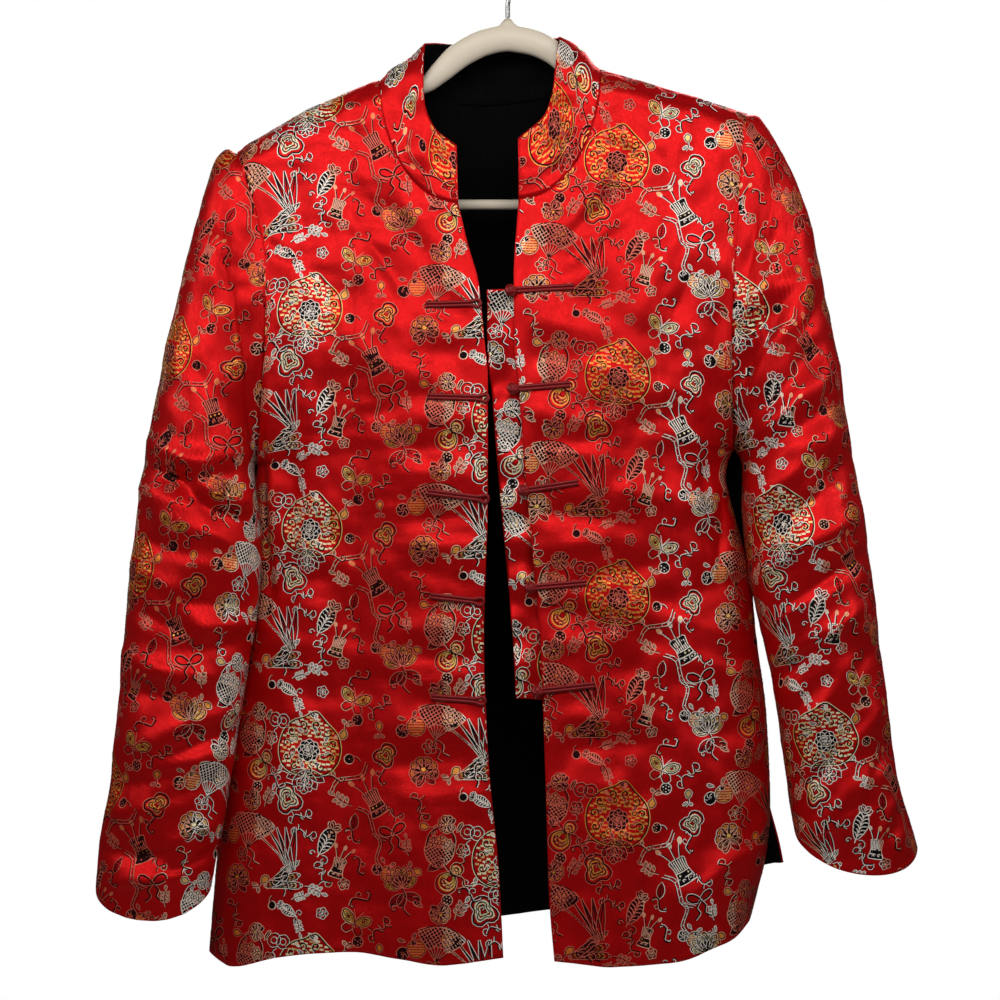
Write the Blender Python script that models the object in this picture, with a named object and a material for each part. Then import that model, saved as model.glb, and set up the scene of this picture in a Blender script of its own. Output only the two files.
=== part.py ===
"""Reversible jacket with a stand collar and five frog closures, hanging open on a plastic hanger.

Lengths in the tables are millimetres. X runs across the jacket, towards the wearer's left. The front
faces -Y and Z is up. The origin is the inside top of the hanger's hook, where a rail holds it.
Right and left are the wearer's.
"""

import math
from collections import namedtuple
from types import SimpleNamespace

import bmesh
import bpy
import numpy as np
from mathutils import Vector
from mathutils.bvhtree import BVHTree

MM = 0.001
MERGE = 1e-6  # metres
SHARP_ANGLE = 50  # degrees

# Cloth
FRONT_WALL = 2.4  # both layers of the reversible cloth, stitched as one
LAYER = 1.2  # one layer, where the reverse shows and is a piece of its own
LAYER_GAP = 0.3
SEAM_GAP = 0.35
SHOULDER_ROLL = 21.0  # radius of the cloth's turn over the shoulder
SIDE_FULLNESS = (2.6, 2.2)  # powers that round the body into its side seams
FOLD_FADE = 0.2  # share of a panel's width in which its folds die out towards a side seam

# Rows down the panels
NECK_ROW = 7  # the neckline ends here at the front edge
ARM_ROW = 11  # the armhole ends here at the side seam
WAVE_ROW = 15  # the hem's wave grows from here down
VENT_ROW = 20  # the side vent opens here
HEM_ROW = 23
NECK_ANGLES = (0, 1, 4, 13, 28, 46, 66, 90)  # round the neckline, from shoulder seam to throat
ARM_SPLIT = (0, 0.006, 0.03, 0.095, 0.2, 0.33, 0.48, 0.63, 0.77, 0.89, 0.97, 1)  # down the armhole
FRONT_COLUMNS = 13
FRONT_SPACING = 1.5  # power that draws the columns together towards the side
BACK_SHOULDER_STEPS = 6
BACK_NECK_STEPS = 8
BACK_SPACING = 1.35

Level = namedtuple("Level", "z x")
Share = namedtuple("Share", "at value")
Fold = namedtuple("Fold", "x z length turn width height")
Ring = namedtuple("Ring", "inner_x inner_z outer_x outer_z half_depth mid_y")
Bar = namedtuple("Bar", "x z height")

# Extra depth of the body, in front of and behind the shoulder roll, at each drop below the shoulder
FRONT_DEPTH = (Share(0, 0), Share(40, 4), Share(100, 12), Share(200, 27), Share(300, 33),
               Share(420, 32), Share(520, 35), Share(620, 38), Share(700, 39))
BACK_DEPTH = (Share(0, 0), Share(40, 5), Share(100, 13), Share(200, 21), Share(300, 22),
              Share(420, 21), Share(520, 26), Share(620, 32), Share(700, 35))
ARM_DEPTH = (Share(0, 0), Share(0.2, 5), Share(0.45, 14), Share(0.6, 15), Share(1, 15))
ARM_CLOSE_FROM = 0.55  # share of the armhole's height below which it rounds into the side seam

RIGHT = SimpleNamespace(
    out=-1,
    neck=(-98.6, -108.6),
    shoulder=(-210.0, -164.4),
    shoulder_bow=5.0,
    throat=(-38.1, -206.0),
    armpit_z=-407.0,
    edge_armpit_z=-385.0,
    vent_z=-690.0,
    hem_side_z=-783.0,
    hem_edge_z=-781.0,
    back_hem_side_z=-778.0,
    armhole=(Share(0, -210), Share(0.08, -203.5), Share(0.2, -193.5), Share(0.36, -186),
             Share(0.5, -186), Share(0.76, -189.5), Share(1, -194.5)),
    edge=(Level(-206, -38.1), Level(-236, -31.2), Level(-269, -22.2), Level(-313, -17.8),
          Level(-339, -15.3), Level(-426, -15.2), Level(-540, -18.2), Level(-624, -15.2),
          Level(-716, -6.9), Level(-781, -3.4)),
    side=(Level(-407, -194.5), Level(-480, -192.5), Level(-541, -200.5), Level(-628, -213),
          Level(-707, -224), Level(-783, -231.5)),
    back_side=(Level(-690, -221.5), Level(-778, -229)),
    hem_wave=(Share(0, 0), Share(0.2, -5.2), Share(0.35, 0), Share(0.5, 4.5), Share(0.62, 4),
              Share(0.75, 0), Share(0.92, -9), Share(1, 0)),
    folds=(Fold(-176, -400, 240, 2, 15, -6), Fold(-76, -256, 130, 31, 18, -5),
           Fold(-116, -500, 400, 1, 18, -4), Fold(-160, -715, 170, 5, 24, 6),
           Fold(-62, -735, 150, -4, 26, 6)),
)

LEFT = SimpleNamespace(
    out=1,
    neck=(71.6, -100.0),
    shoulder=(186.0, -134.5),
    shoulder_bow=0.5,
    throat=(8.2, -203.0),
    armpit_z=-396.0,
    edge_armpit_z=-385.0,
    vent_z=-672.0,
    hem_side_z=-758.0,
    hem_edge_z=-783.6,
    back_hem_side_z=-715.0,
    armhole=(Share(0, 186), Share(0.1, 181.5), Share(0.25, 178), Share(0.45, 174),
             Share(0.7, 172.5), Share(1, 175)),
    edge=(Level(-203, 8.2), Level(-268, 4.4), Level(-313, 4.7), Level(-354, 8.5),
          Level(-419, 13.5), Level(-479, 19.1), Level(-548, 24.8), Level(-641, 28.3),
          Level(-742, 31.6), Level(-784, 35.2)),
    side=(Level(-396, 175), Level(-440, 176), Level(-480, 181), Level(-542, 191.5),
          Level(-600, 198.5), Level(-672, 203.5), Level(-700, 201.5), Level(-745, 191.5),
          Level(-758, 188)),
    back_side=(Level(-672, 203.5), Level(-700, 211), Level(-715, 214)),
    hem_wave=(Share(0, 0), Share(0.14, -6), Share(0.28, -11.3), Share(0.42, -14),
              Share(0.62, -17.8), Share(0.8, -13.6), Share(0.91, -9.2), Share(1, 0)),
    folds=(Fold(160, -395, 220, -3, 15, -6), Fold(119, -460, 300, -2, 18, -4),
           Fold(118, -262, 120, -30, 18, 4), Fold(72, -735, 150, 3, 26, 6),
           Fold(160, -728, 80, -52, 16, 6)),
)

BACK = SimpleNamespace(
    neck_dip=18.0,
    neck_dip_power=0.7,
    hem_middle_z=-764.0,
    folds=(Fold(-100, -470, 360, 1, 20, -5), Fold(80, -460, 360, -1, 20, -5),
           Fold(-155, -700, 180, 4, 26, 6), Fold(-12, -690, 220, 0, 32, 7),
           Fold(140, -650, 160, -5, 26, 6)),
)

# Top edge of the collar, by its share of the way from the shoulder seam to the throat, and by its
# share of the way round the back from the right shoulder seam to the left one
TopEdge = namedtuple("TopEdge", "share x y z")
COLLAR_RIGHT = (TopEdge(0, -64.7, 3, -79), TopEdge(0.17, -65, -6, -92),
                TopEdge(0.34, -65, -12, -108), TopEdge(0.54, -64, -17, -127),
                TopEdge(0.78, -56, -22, -148), TopEdge(1, -39.3, -27, -161.5))
COLLAR_LEFT = (TopEdge(0, 41.6, -2, -73.5), TopEdge(0.13, 39, -10.5, -82),
               TopEdge(0.32, 36.8, -15, -98), TopEdge(0.51, 34.8, -18, -116),
               TopEdge(0.75, 28.5, -22, -137), TopEdge(1, 7.9, -27, -156))
COLLAR_BACK = (TopEdge(0, -64.7, 3, -79), TopEdge(0.25, -44, 16.5, -78.5),
               TopEdge(0.5, -12, 21, -77), TopEdge(0.75, 20, 18, -75),
               TopEdge(0.92, 36.5, 10, -73.8), TopEdge(1, 41.6, -2, -73.5))

# Sleeves, from the first ring past the armhole to the cuff
SLEEVE_RIGHT = (
    Ring(-196.5, -411, -217, -162, 38, 0), Ring(-198, -415, -225, -168, 42, -1),
    Ring(-199.5, -421, -233, -190, 45, -3), Ring(-199.5, -431, -244, -232, 48, -7),
    Ring(-197.8, -446, -256.5, -284, 50, -12), Ring(-196, -468, -267, -336, 50, -17),
    Ring(-195.5, -496, -277, -390, 48.5, -21), Ring(-199.5, -530, -285, -445, 46, -24),
    Ring(-205, -568, -291, -500, 43, -26), Ring(-211, -606, -296, -555, 40.5, -27),
    Ring(-217, -645, -301, -610, 38, -28), Ring(-222, -680, -306.5, -660, 35, -28),
    Ring(-225.5, -707, -314, -700, 32.5, -28), Ring(-228, -728, -316, -729, 30, -28),
)
SLEEVE_LEFT = (
    Ring(178.5, -400, 193, -136, 38, 0), Ring(180, -404, 202, -147, 42, -1),
    Ring(181.5, -410, 215, -170, 45, -3), Ring(181.5, -420, 231, -210, 48, -6),
    Ring(181, -436, 243.5, -268, 50, -9), Ring(182, -458, 255, -326, 50, -12),
    Ring(185.5, -489, 265.5, -398, 48, -14), Ring(193, -524, 276, -457, 45, -15),
    Ring(201, -560, 282, -506, 42, -16), Ring(207.5, -596, 288, -556, 39, -16),
    Ring(212, -628, 294, -602, 36.5, -16), Ring(215.5, -656, 300.5, -648, 34, -16),
    Ring(218, -674, 309, -678, 32, -16), Ring(221, -688, 316, -701, 30, -16),
)
CUFF_DIP = 25.0  # how far the front of a cuff hangs below its sides
CUFF_DIP_RINGS = 3

# Placket: the strip under the left front that fills the gap between the fronts
PLACKET_TOP = -274.0
PLACKET_BOTTOM = -585.0
PLACKET_SHOWS = 20.5  # how far it stands out past the left front's edge
PLACKET_TUCK = 15.0  # how far it runs back under the left front
PLACKET_WALL = 2.0
PLACKET_GAP = 0.8
PLACKET_ROWS = 12

# Frog closures, with the outer end of each strip first
Frog = namedtuple("Frog", "outer_x outer_z inner_x inner_z")
LOOPS = (Frog(-62.8, -284.8, -20.5, -284), Frog(-61.3, -355, -14.5, -356.6),
         Frog(-60.9, -427.8, -14.5, -433.5), Frog(-58.9, -506.7, -18, -511.5),
         Frog(-57.9, -583.7, -17, -586.8))
KNOTS = (Frog(50.5, -271.3, 2.1, -274.2), Frog(47.3, -345.7, 3.5, -349.4),
         Frog(53.5, -420.4, 11.5, -426.7), Frog(59.8, -496.7, 17.2, -500.5),
         Frog(66, -574.3, 22.2, -579.2))
STRIP_WIDTH = 5.0
STRIP_HEIGHT = 2.2
LOOP_END_WIDTH = 7.0
BALL = 9.0
BALL_TURNS = (-55, -25, 0, 25, 50, 74)  # degrees along the ball where its rings lie
FROG_LIFT = 0.8
EDGE_MARGIN = 7.0  # past this distance from its inner end, a frog overhangs the front's edge
FROG_STEPS = 6
FROG_SIDES = 8

# Hanger: middle line and height of the bar, from the right arm's end over the hook and round below
HANGER_NECK = (Bar(-80, -116.3, 12), Bar(-64, -112, 13), Bar(-52, -102, 17), Bar(-38, -89.6, 20),
               Bar(-20, -80, 20.5), Bar(-9, -77, 20.5), Bar(-5, -76.4, 20.5), Bar(-2.4, -76.1, 20.5),
               Bar(0, -76, 20.5), Bar(2.4, -76.1, 20.5), Bar(5, -76.4, 20.5), Bar(9, -77, 20.5),
               Bar(20, -79.4, 20), Bar(35, -86.8, 18.5), Bar(49, -101, 14), Bar(60, -108.5, 12),
               Bar(71, -112, 12))
HANGER_REST_RIGHT = (-172, -148, -124, -103)  # x where the right arm carries the shoulder
HANGER_REST_LEFT = (84, 106, 132, 168)
HANGER_REST_HEIGHT = 12.0
HANGER_FOOT = (Bar(178, -144, 11), Bar(182, -156, 10), Bar(181, -176, 9), Bar(172, -196, 8.5),
               Bar(152, -205, 8), Bar(90, -205, 8), Bar(30, -205, 8), Bar(-30, -205, 8),
               Bar(-90, -205, 8), Bar(-152, -205, 8), Bar(-174, -198, 8.5), Bar(-184, -182, 9),
               Bar(-185.5, -167, 10), Bar(-181.5, -158, 11))
HANGER_SIDES = 10
ARM_THICKNESS = 12.0
FOOT_THICKNESS = 8.0
NUB_TOP = -60.0
NUB_SPREAD = 3.6
SEAT_GAP = 0.7  # between the arm and the cloth that rests on it

# Hook
HOOK_WIRE = 3.6
HOOK_GAP = 0.3
HOOK_INNER = 19.0  # radius inside
HOOK_STEM_TOP = -50.0
HOOK_START = -48  # degrees round the eye, where the stem joins it
HOOK_END = 205
HOOK_ARC_STEPS = 22
HOOK_STEM_STEPS = 5

RED_BROCADE = ("red_brocade", (0.55, 0.012, 0.014), 0.38, 0.0)
BLACK_REVERSE = ("black_reverse", (0.006, 0.006, 0.007), 0.9, 0.0)
RED_CORD = ("red_cord", (0.30, 0.008, 0.012), 0.5, 0.0)
CREAM_PLASTIC = ("cream_plastic", (0.66, 0.57, 0.44), 0.35, 0.0)
STEEL_WIRE = ("steel_wire", (0.62, 0.62, 0.60), 0.3, 1.0)


def smooth(rows, at):
    """A smooth line through a table's first two columns, which never swings past its values."""
    keys = np.array([row[0] for row in rows], float)
    values = np.array([row[1] for row in rows], float)
    if keys[0] > keys[-1]:
        keys, values = keys[::-1], values[::-1]
    at = np.clip(np.asarray(at, float), keys[0], keys[-1])
    step = np.diff(keys)
    rise = np.diff(values) / step
    slope = np.empty(len(keys))
    slope[0], slope[-1] = rise[0], rise[-1]
    product = rise[1:] * rise[:-1]
    total = np.where(product > 0, rise[1:] + rise[:-1], 1)
    slope[1:-1] = np.where(product > 0, 2 * product / total, 0)
    part = np.clip(np.searchsorted(keys, at) - 1, 0, len(step) - 1)
    t = (at - keys[part]) / step[part]
    start, end = values[part], values[part + 1]
    lean_in, lean_out = slope[part] * step[part], slope[part + 1] * step[part]
    return (start * (1 + 2 * t) * (1 - t) ** 2 + lean_in * t * (1 - t) ** 2
            + end * t * t * (3 - 2 * t) + lean_out * t * t * (t - 1))


def mix(a, b, share):
    return a + (b - a) * share


def column(rows, name):
    """One named column of a table, against its first column."""
    return [(row[0], getattr(row, name)) for row in rows]


def roll(drop):
    """How far the cloth stands out at each drop below the shoulder line, as it turns over it."""
    turn = np.clip(drop, 0, SHOULDER_ROLL)
    return np.sqrt(turn * (2 * SHOULDER_ROLL - turn))


def body_round(across):
    """The share of the body's depth that is left at each place from its middle, 0, to its side, 1."""
    fullness, closing = SIDE_FULLNESS
    return (1 - np.clip(np.abs(across), 0, 1) ** fullness) ** (1 / closing)


def shoulder_line(x):
    """Height of the shoulder seam above each x, and of the line across the neck between the seams."""
    heights = mix(RIGHT.neck[1], LEFT.neck[1], (x - RIGHT.neck[0]) / (LEFT.neck[0] - RIGHT.neck[0]))
    for side in (RIGHT, LEFT):
        along = (x - side.neck[0]) / (side.shoulder[0] - side.neck[0])
        seam = mix(side.neck[1], side.shoulder[1], along)
        seam = seam + side.shoulder_bow * 4 * np.clip(along, 0, 1) * (1 - np.clip(along, 0, 1))
        heights = np.where(along > 0, seam, heights)
    return heights


def fold_height(folds, x, z):
    """How far the folds lift the cloth at each point."""
    total = np.zeros_like(x)
    for fold in folds:
        turn = math.radians(fold.turn)
        over = x - fold.x
        down = fold.z - z
        along = down * math.cos(turn) + over * math.sin(turn)
        across = over * math.cos(turn) - down * math.sin(turn)
        ends = np.exp(-((2 * along / fold.length) ** 4))
        total += fold.height * ends * np.exp(-((across / fold.width) ** 2))
    return total


def arm_share(row):
    """How far down the armhole a row meets it, from 0 at the shoulder to 1 at the armpit."""
    return smooth(list(enumerate(ARM_SPLIT)), row)


def outer_line(side, row, hem_z, low_side):
    """Where each row ends at the armhole and the side seam."""
    share = arm_share(row)
    arm_z = mix(side.shoulder[1], side.armpit_z, share)
    side_z = np.interp(row, (ARM_ROW, VENT_ROW, HEM_ROW), (side.armpit_z, side.vent_z, hem_z))
    x = np.where(row <= ARM_ROW, smooth(side.armhole, share), smooth(side.side, side_z))
    x = np.where(row > VENT_ROW, smooth(low_side, side_z), x)
    return x, np.where(row <= ARM_ROW, arm_z, side_z)


def inner_line(side, row):
    """Where each row ends at the neckline and the front edge."""
    angle = np.radians(smooth(list(enumerate(NECK_ANGLES)), row))
    neck_x = mix(side.throat[0], side.neck[0], np.cos(angle))
    neck_z = mix(side.neck[1], side.throat[1], np.sin(angle))
    edge_z = np.interp(row, (NECK_ROW, ARM_ROW, HEM_ROW),
                       (side.throat[1], side.edge_armpit_z, side.hem_edge_z))
    x = np.where(row <= NECK_ROW, neck_x, smooth(side.edge, edge_z))
    return x, np.where(row <= NECK_ROW, neck_z, edge_z)


def arm_half_depth(row, height):
    """Half the armhole's depth at each row, none below the armpit."""
    share = arm_share(row)
    low = np.clip((share - ARM_CLOSE_FROM) / (1 - ARM_CLOSE_FROM), 0, 1)
    depth = (roll(share * height) + smooth(ARM_DEPTH, share)) * np.sqrt(1 - low**2)
    return np.where(row >= ARM_ROW, 0, depth)


def front_panel(side, across, row):
    """Points of a front's outer face. Across runs from 0 at its front edge to 1 at its side."""
    outer_x, outer_z = outer_line(side, row, side.hem_side_z, side.side)
    inner_x, inner_z = inner_line(side, row)
    x = mix(inner_x, outer_x, across)
    high = (1 - row / HEM_ROW) ** 2
    low = np.clip((row - WAVE_ROW) / (HEM_ROW - WAVE_ROW), 0, 1) ** 2
    z = mix(inner_z, outer_z, across) + side.shoulder_bow * 4 * across * (1 - across) * high
    z = z + smooth(side.hem_wave, across) * low
    drop = np.clip(shoulder_line(x) - z, 0, None) * (row > 0)
    middle = roll(drop) + smooth(FRONT_DEPTH, drop)
    arm = arm_half_depth(row, side.shoulder[1] - side.armpit_z)
    depth = arm + (middle - arm) * body_round(across)
    depth = depth + fold_height(side.folds, x, z) * np.clip((1 - across) / FOLD_FADE, 0, 1)
    return np.stack((x, -SEAM_GAP / 2 - depth, z), -1)


def back_panel(across, row):
    """Points of the back's outer face. Across runs from -1 at the wearer's right to 1 at the left."""
    right_x, right_z = outer_line(RIGHT, row, RIGHT.back_hem_side_z, RIGHT.back_side)
    left_x, left_z = outer_line(LEFT, row, LEFT.back_hem_side_z, LEFT.back_side)
    share = (across + 1) / 2
    x = mix(right_x, left_x, share)
    top_x = mix(RIGHT.shoulder[0], LEFT.shoulder[0], share)
    neck_half = (LEFT.neck[0] - RIGHT.neck[0]) / 2
    beside = np.clip(np.abs(top_x - RIGHT.neck[0] - neck_half) / neck_half, 0, 1)
    top_z = shoulder_line(top_x) - BACK.neck_dip * (1 - beside**2) ** BACK.neck_dip_power
    swing = (LEFT.back_hem_side_z - RIGHT.back_hem_side_z) / 2
    lift = (LEFT.back_hem_side_z + RIGHT.back_hem_side_z) / 2 - BACK.hem_middle_z
    hem_z = BACK.hem_middle_z + swing * across + lift * across**2
    right_down = (RIGHT.shoulder[1] - right_z) / (RIGHT.shoulder[1] - RIGHT.back_hem_side_z)
    left_down = (LEFT.shoulder[1] - left_z) / (LEFT.shoulder[1] - LEFT.back_hem_side_z)
    z = mix(top_z, hem_z, mix(right_down, left_down, share))
    drop = np.clip(shoulder_line(x) - z, 0, None)
    drop = np.where((row == 0) & (beside >= 1 - MERGE), 0, drop)
    middle = roll(drop) + smooth(BACK_DEPTH, drop)
    height = mix(RIGHT.shoulder[1] - RIGHT.armpit_z, LEFT.shoulder[1] - LEFT.armpit_z, share)
    arm = arm_half_depth(row, height)
    depth = arm + (middle - arm) * body_round(across)
    depth = depth + fold_height(BACK.folds, x, z) * np.clip((1 - np.abs(across)) / FOLD_FADE, 0, 1)
    return np.stack((x, SEAM_GAP / 2 + depth, z), -1)


def unit(vectors):
    return vectors / np.maximum(np.linalg.norm(vectors, axis=-1, keepdims=True), 1e-9)


def mirrored(points):
    return points * np.array((1, -1, 1))


def face_normals(points, seam_top, seam_start, seam_end):
    """Outward normals of a panel, level across each seam where it meets its mirror image."""
    above = np.where(seam_top[:, None], mirrored(points[1]), 2 * points[0] - points[1])
    below = 2 * points[-1] - points[-2]
    start = np.where(seam_start[:, None], mirrored(points[:, 1]), 2 * points[:, 0] - points[:, 1])
    end = np.where(seam_end[:, None], mirrored(points[:, -2]), 2 * points[:, -1] - points[:, -2])
    tall = np.concatenate((above[None], points, below[None]))
    wide = np.concatenate((start[:, None], points, end[:, None]), axis=1)
    facing = unit(np.cross(wide[:, 2:] - wide[:, :-2], tall[2:] - tall[:-2]))
    outside = np.sign(points[..., 1].mean())
    return facing * (np.sign(facing[..., 1].mean()) * outside)


def grid_mesh(points):
    """A bmesh through a grid of points, merged where its ends meet. Each vertex keeps its place."""
    rows, columns = points.shape[:2]
    bm = bmesh.new()
    bmesh.ops.create_grid(bm, x_segments=columns - 1, y_segments=rows - 1, size=0.5)
    place = bm.verts.layers.int.new("place")
    for vert in bm.verts:
        over = round((vert.co.x + 0.5) * (columns - 1))
        down = round((vert.co.y + 0.5) * (rows - 1))
        vert[place] = down * columns + over
        vert.co = points[down, over] * MM
    bmesh.ops.remove_doubles(bm, verts=bm.verts, dist=MERGE)
    return bm, place


def make_material(finish):
    name, color, roughness, metallic = finish
    if name in bpy.data.materials:
        return bpy.data.materials[name]
    material = bpy.data.materials.new(name)
    material.use_nodes = True
    shader = material.node_tree.nodes["Principled BSDF"]
    shader.inputs["Base Color"].default_value = (*color, 1)
    shader.inputs["Roughness"].default_value = roughness
    shader.inputs["Metallic"].default_value = metallic
    return material


def add_piece(name, bm, finish):
    bmesh.ops.recalc_face_normals(bm, faces=bm.faces[:])
    mesh = bpy.data.meshes.new(name)
    bm.to_mesh(mesh)
    bm.free()
    mesh.shade_smooth()
    mesh.set_sharp_from_angle(angle=math.radians(SHARP_ANGLE))
    mesh.materials.append(make_material(finish))
    bpy.context.scene.collection.objects.link(bpy.data.objects.new(name, mesh))


def add_wall(name, outer, inner, finish):
    """A closed cloth wall between an outer and an inner grid of points."""
    bm, place = grid_mesh(outer)
    inner_points = inner.reshape(-1, 3) * MM
    for item in bmesh.ops.extrude_face_region(bm, geom=bm.faces[:])["geom"]:
        if isinstance(item, bmesh.types.BMVert):
            item.co = inner_points[item[place]]
    add_piece(name, bm, finish)


def add_bar(name, rings, finish):
    """A solid bar through rings of points: closed on itself, or with an end cap at each end."""
    bm, _ = grid_mesh(np.concatenate((rings, rings[:, :1]), axis=1))
    bmesh.ops.holes_fill(bm, edges=[edge for edge in bm.edges if edge.is_boundary])
    add_piece(name, bm, finish)


def make_fronts():
    """Both front panels. Returns each one's outer and inner points, and its normals."""
    made = {}
    share = np.linspace(0, 1, FRONT_COLUMNS)
    across, row = np.meshgrid(1 - (1 - share) ** FRONT_SPACING, np.arange(HEM_ROW + 1.0))
    for name, side in (("front_right", RIGHT), ("front_left", LEFT)):
        outer = front_panel(side, across, row)
        top = np.ones(FRONT_COLUMNS, bool)
        below_arm = np.arange(HEM_ROW + 1) >= ARM_ROW
        facing = face_normals(outer, top, np.zeros(HEM_ROW + 1, bool), below_arm)
        inner = outer - facing * FRONT_WALL
        add_wall(name, outer, inner, RED_BROCADE)
        made[name] = SimpleNamespace(outer=outer, inner=inner, facing=facing)
    return made


def back_columns():
    """Places across the back, with one at each end of the neck."""
    width = LEFT.shoulder[0] - RIGHT.shoulder[0]
    ends = [2 * (side.neck[0] - RIGHT.shoulder[0]) / width - 1 for side in (RIGHT, LEFT)]
    closer = np.linspace(0, 1, BACK_SHOULDER_STEPS + 1) ** BACK_SPACING
    right = -1 + (ends[0] + 1) * closer
    left = 1 - (1 - ends[1]) * closer[::-1]
    turn = np.linspace(0, math.pi, BACK_NECK_STEPS + 1)
    neck = mix(ends[0], ends[1], (1 - np.cos(turn)) / 2)
    return np.concatenate((right[:-1], neck, left[1:]))


def make_back():
    """The back's brocade and, inside it, the black reverse."""
    columns = back_columns()
    across, row = np.meshgrid(columns, np.arange(HEM_ROW + 1.0))
    outer = back_panel(across, row)
    place = np.arange(len(columns))
    top = (place <= BACK_SHOULDER_STEPS) | (place >= BACK_SHOULDER_STEPS + BACK_NECK_STEPS)
    below_arm = np.arange(HEM_ROW + 1) >= ARM_ROW
    facing = face_normals(outer, top, below_arm, below_arm)
    add_wall("back", outer, outer - facing * LAYER, RED_BROCADE)
    reverse = outer - facing * (LAYER + LAYER_GAP)
    inner = outer - facing * (2 * LAYER + LAYER_GAP)
    add_wall("back_lining", reverse, inner, BLACK_REVERSE)
    return SimpleNamespace(outer=outer, inner=inner, facing=facing)


def sleeve_rings(side, rings, front, back):
    """Outer points of a sleeve, ring by ring, round from the shoulder down the front and up the back."""
    back_edge = 0 if side is RIGHT else -1
    front_rows = front.outer[: ARM_ROW + 1, -1]
    back_rows = back.outer[: ARM_ROW + 1, back_edge]
    loop = np.concatenate((front_rows, back_rows[-2:0:-1]))
    loop[0] = (front_rows[0] + back_rows[0]) / 2
    loop[ARM_ROW] = (front_rows[-1] + back_rows[-1]) / 2
    loop[:, 0] += side.out * SEAM_GAP
    down = np.array(ARM_SPLIT + ARM_SPLIT[-2:0:-1])
    forward = np.where(np.arange(len(down)) <= ARM_ROW, 1, -1)
    bulge = 2 * np.sqrt(down * (1 - down)) * forward
    made = [loop]
    for number, ring in enumerate(rings):
        x = mix(ring.outer_x, ring.inner_x, down)
        z = mix(ring.outer_z, ring.inner_z, down)
        dip = CUFF_DIP * max(0, number + 1 + CUFF_DIP_RINGS - len(rings)) / CUFF_DIP_RINGS
        z = z - dip * np.clip(bulge, 0, 1)
        made.append(np.stack((x, ring.mid_y - ring.half_depth * bulge, z), -1))
    return np.array(made)


def make_sleeve(name, side, rings, front, back):
    outer = sleeve_rings(side, rings, front, back)
    around = np.roll(outer, -1, axis=1) - np.roll(outer, 1, axis=1)
    along = np.gradient(outer, axis=0)
    along[0] = (side.out, 0, 0)
    facing = unit(np.cross(around, along))
    middle = outer.mean(axis=1, keepdims=True)
    facing = facing * np.sign(((outer - middle) * facing).sum(axis=-1).mean())
    inner = outer - facing * FRONT_WALL
    outer = np.concatenate((outer, outer[:, :1]), axis=1)
    inner = np.concatenate((inner, inner[:, :1]), axis=1)
    add_wall(name, outer, inner, RED_BROCADE)


def curve_points(rows, at):
    return np.stack([smooth(column(rows, name), at) for name in ("x", "y", "z")], -1)


def way_along(points):
    """How far along a line each of its points lies, from 0 to 1."""
    steps = np.linalg.norm(np.diff(points, axis=0), axis=1)
    return np.concatenate(((0,), np.cumsum(steps))) / steps.sum()


def make_collar(fronts, back):
    """The stand collar and its black reverse, from the neck seam to its top edge."""
    right, left = fronts["front_right"], fronts["front_left"]
    neck_columns = slice(BACK_SHOULDER_STEPS + 1, BACK_SHOULDER_STEPS + BACK_NECK_STEPS)
    down_right = slice(NECK_ROW, None, -1)
    down_left = slice(0, NECK_ROW + 1)

    def round_neck(face):
        return np.concatenate((getattr(right, face)[down_right, 0],
                               getattr(back, face)[0, neck_columns],
                               getattr(left, face)[down_left, 0]))

    seam = round_neck("outer")
    seam_facing = round_neck("facing")
    back_ends = (right.outer[0, 0], *back.outer[0, neck_columns], left.outer[0, 0])
    top = np.concatenate((curve_points(COLLAR_RIGHT, way_along(right.outer[: NECK_ROW + 1, 0])[::-1]),
                          curve_points(COLLAR_BACK, way_along(np.array(back_ends))[1:-1]),
                          curve_points(COLLAR_LEFT, way_along(left.outer[: NECK_ROW + 1, 0]))))
    up = unit(top - seam)
    seam = seam + up * SEAM_GAP
    outer = np.array([seam, mix(seam, top, 0.5), top])
    along = np.gradient(outer, axis=1)
    facing = unit(np.cross(along, np.broadcast_to(up, outer.shape)))
    facing = facing * np.sign((facing * seam_facing).sum(axis=-1)[1:].mean())
    facing[0] = seam_facing
    add_wall("collar", outer, outer - facing * LAYER, RED_BROCADE)
    reverse = outer - facing * (LAYER + LAYER_GAP)
    add_wall("collar_lining", reverse, outer - facing * (2 * LAYER + LAYER_GAP), BLACK_REVERSE)


def make_placket(front):
    """The strip behind the left front's edge, laid along the front's inner face."""
    tree = surface_tree(front.inner)
    outer = []
    for z in np.linspace(PLACKET_TOP, PLACKET_BOTTOM, PLACKET_ROWS):
        edge_x = float(smooth(LEFT.edge, z))
        rests = [edge_x + offset for offset in (EDGE_MARGIN, EDGE_MARGIN, PLACKET_TUCK)]
        places = [edge_x + offset for offset in (-PLACKET_SHOWS, 0, PLACKET_TUCK)]
        outer.append([(x, surface_y(tree, rest, z) + PLACKET_GAP, z)
                      for x, rest in zip(places, rests)])
    outer = np.array(outer)
    add_wall("placket", outer, outer + np.array((0, PLACKET_WALL, 0)), RED_BROCADE)


def surface_tree(points):
    bm, _ = grid_mesh(points)
    tree = BVHTree.FromBMesh(bm)
    bm.free()
    return tree


def surface_y(tree, x, z):
    """How far back a panel's face lies at a point seen from the front."""
    hit = tree.ray_cast(Vector((x * MM, -1, z * MM)), Vector((0, 1, 0)))[0]
    return hit.y / MM


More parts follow.
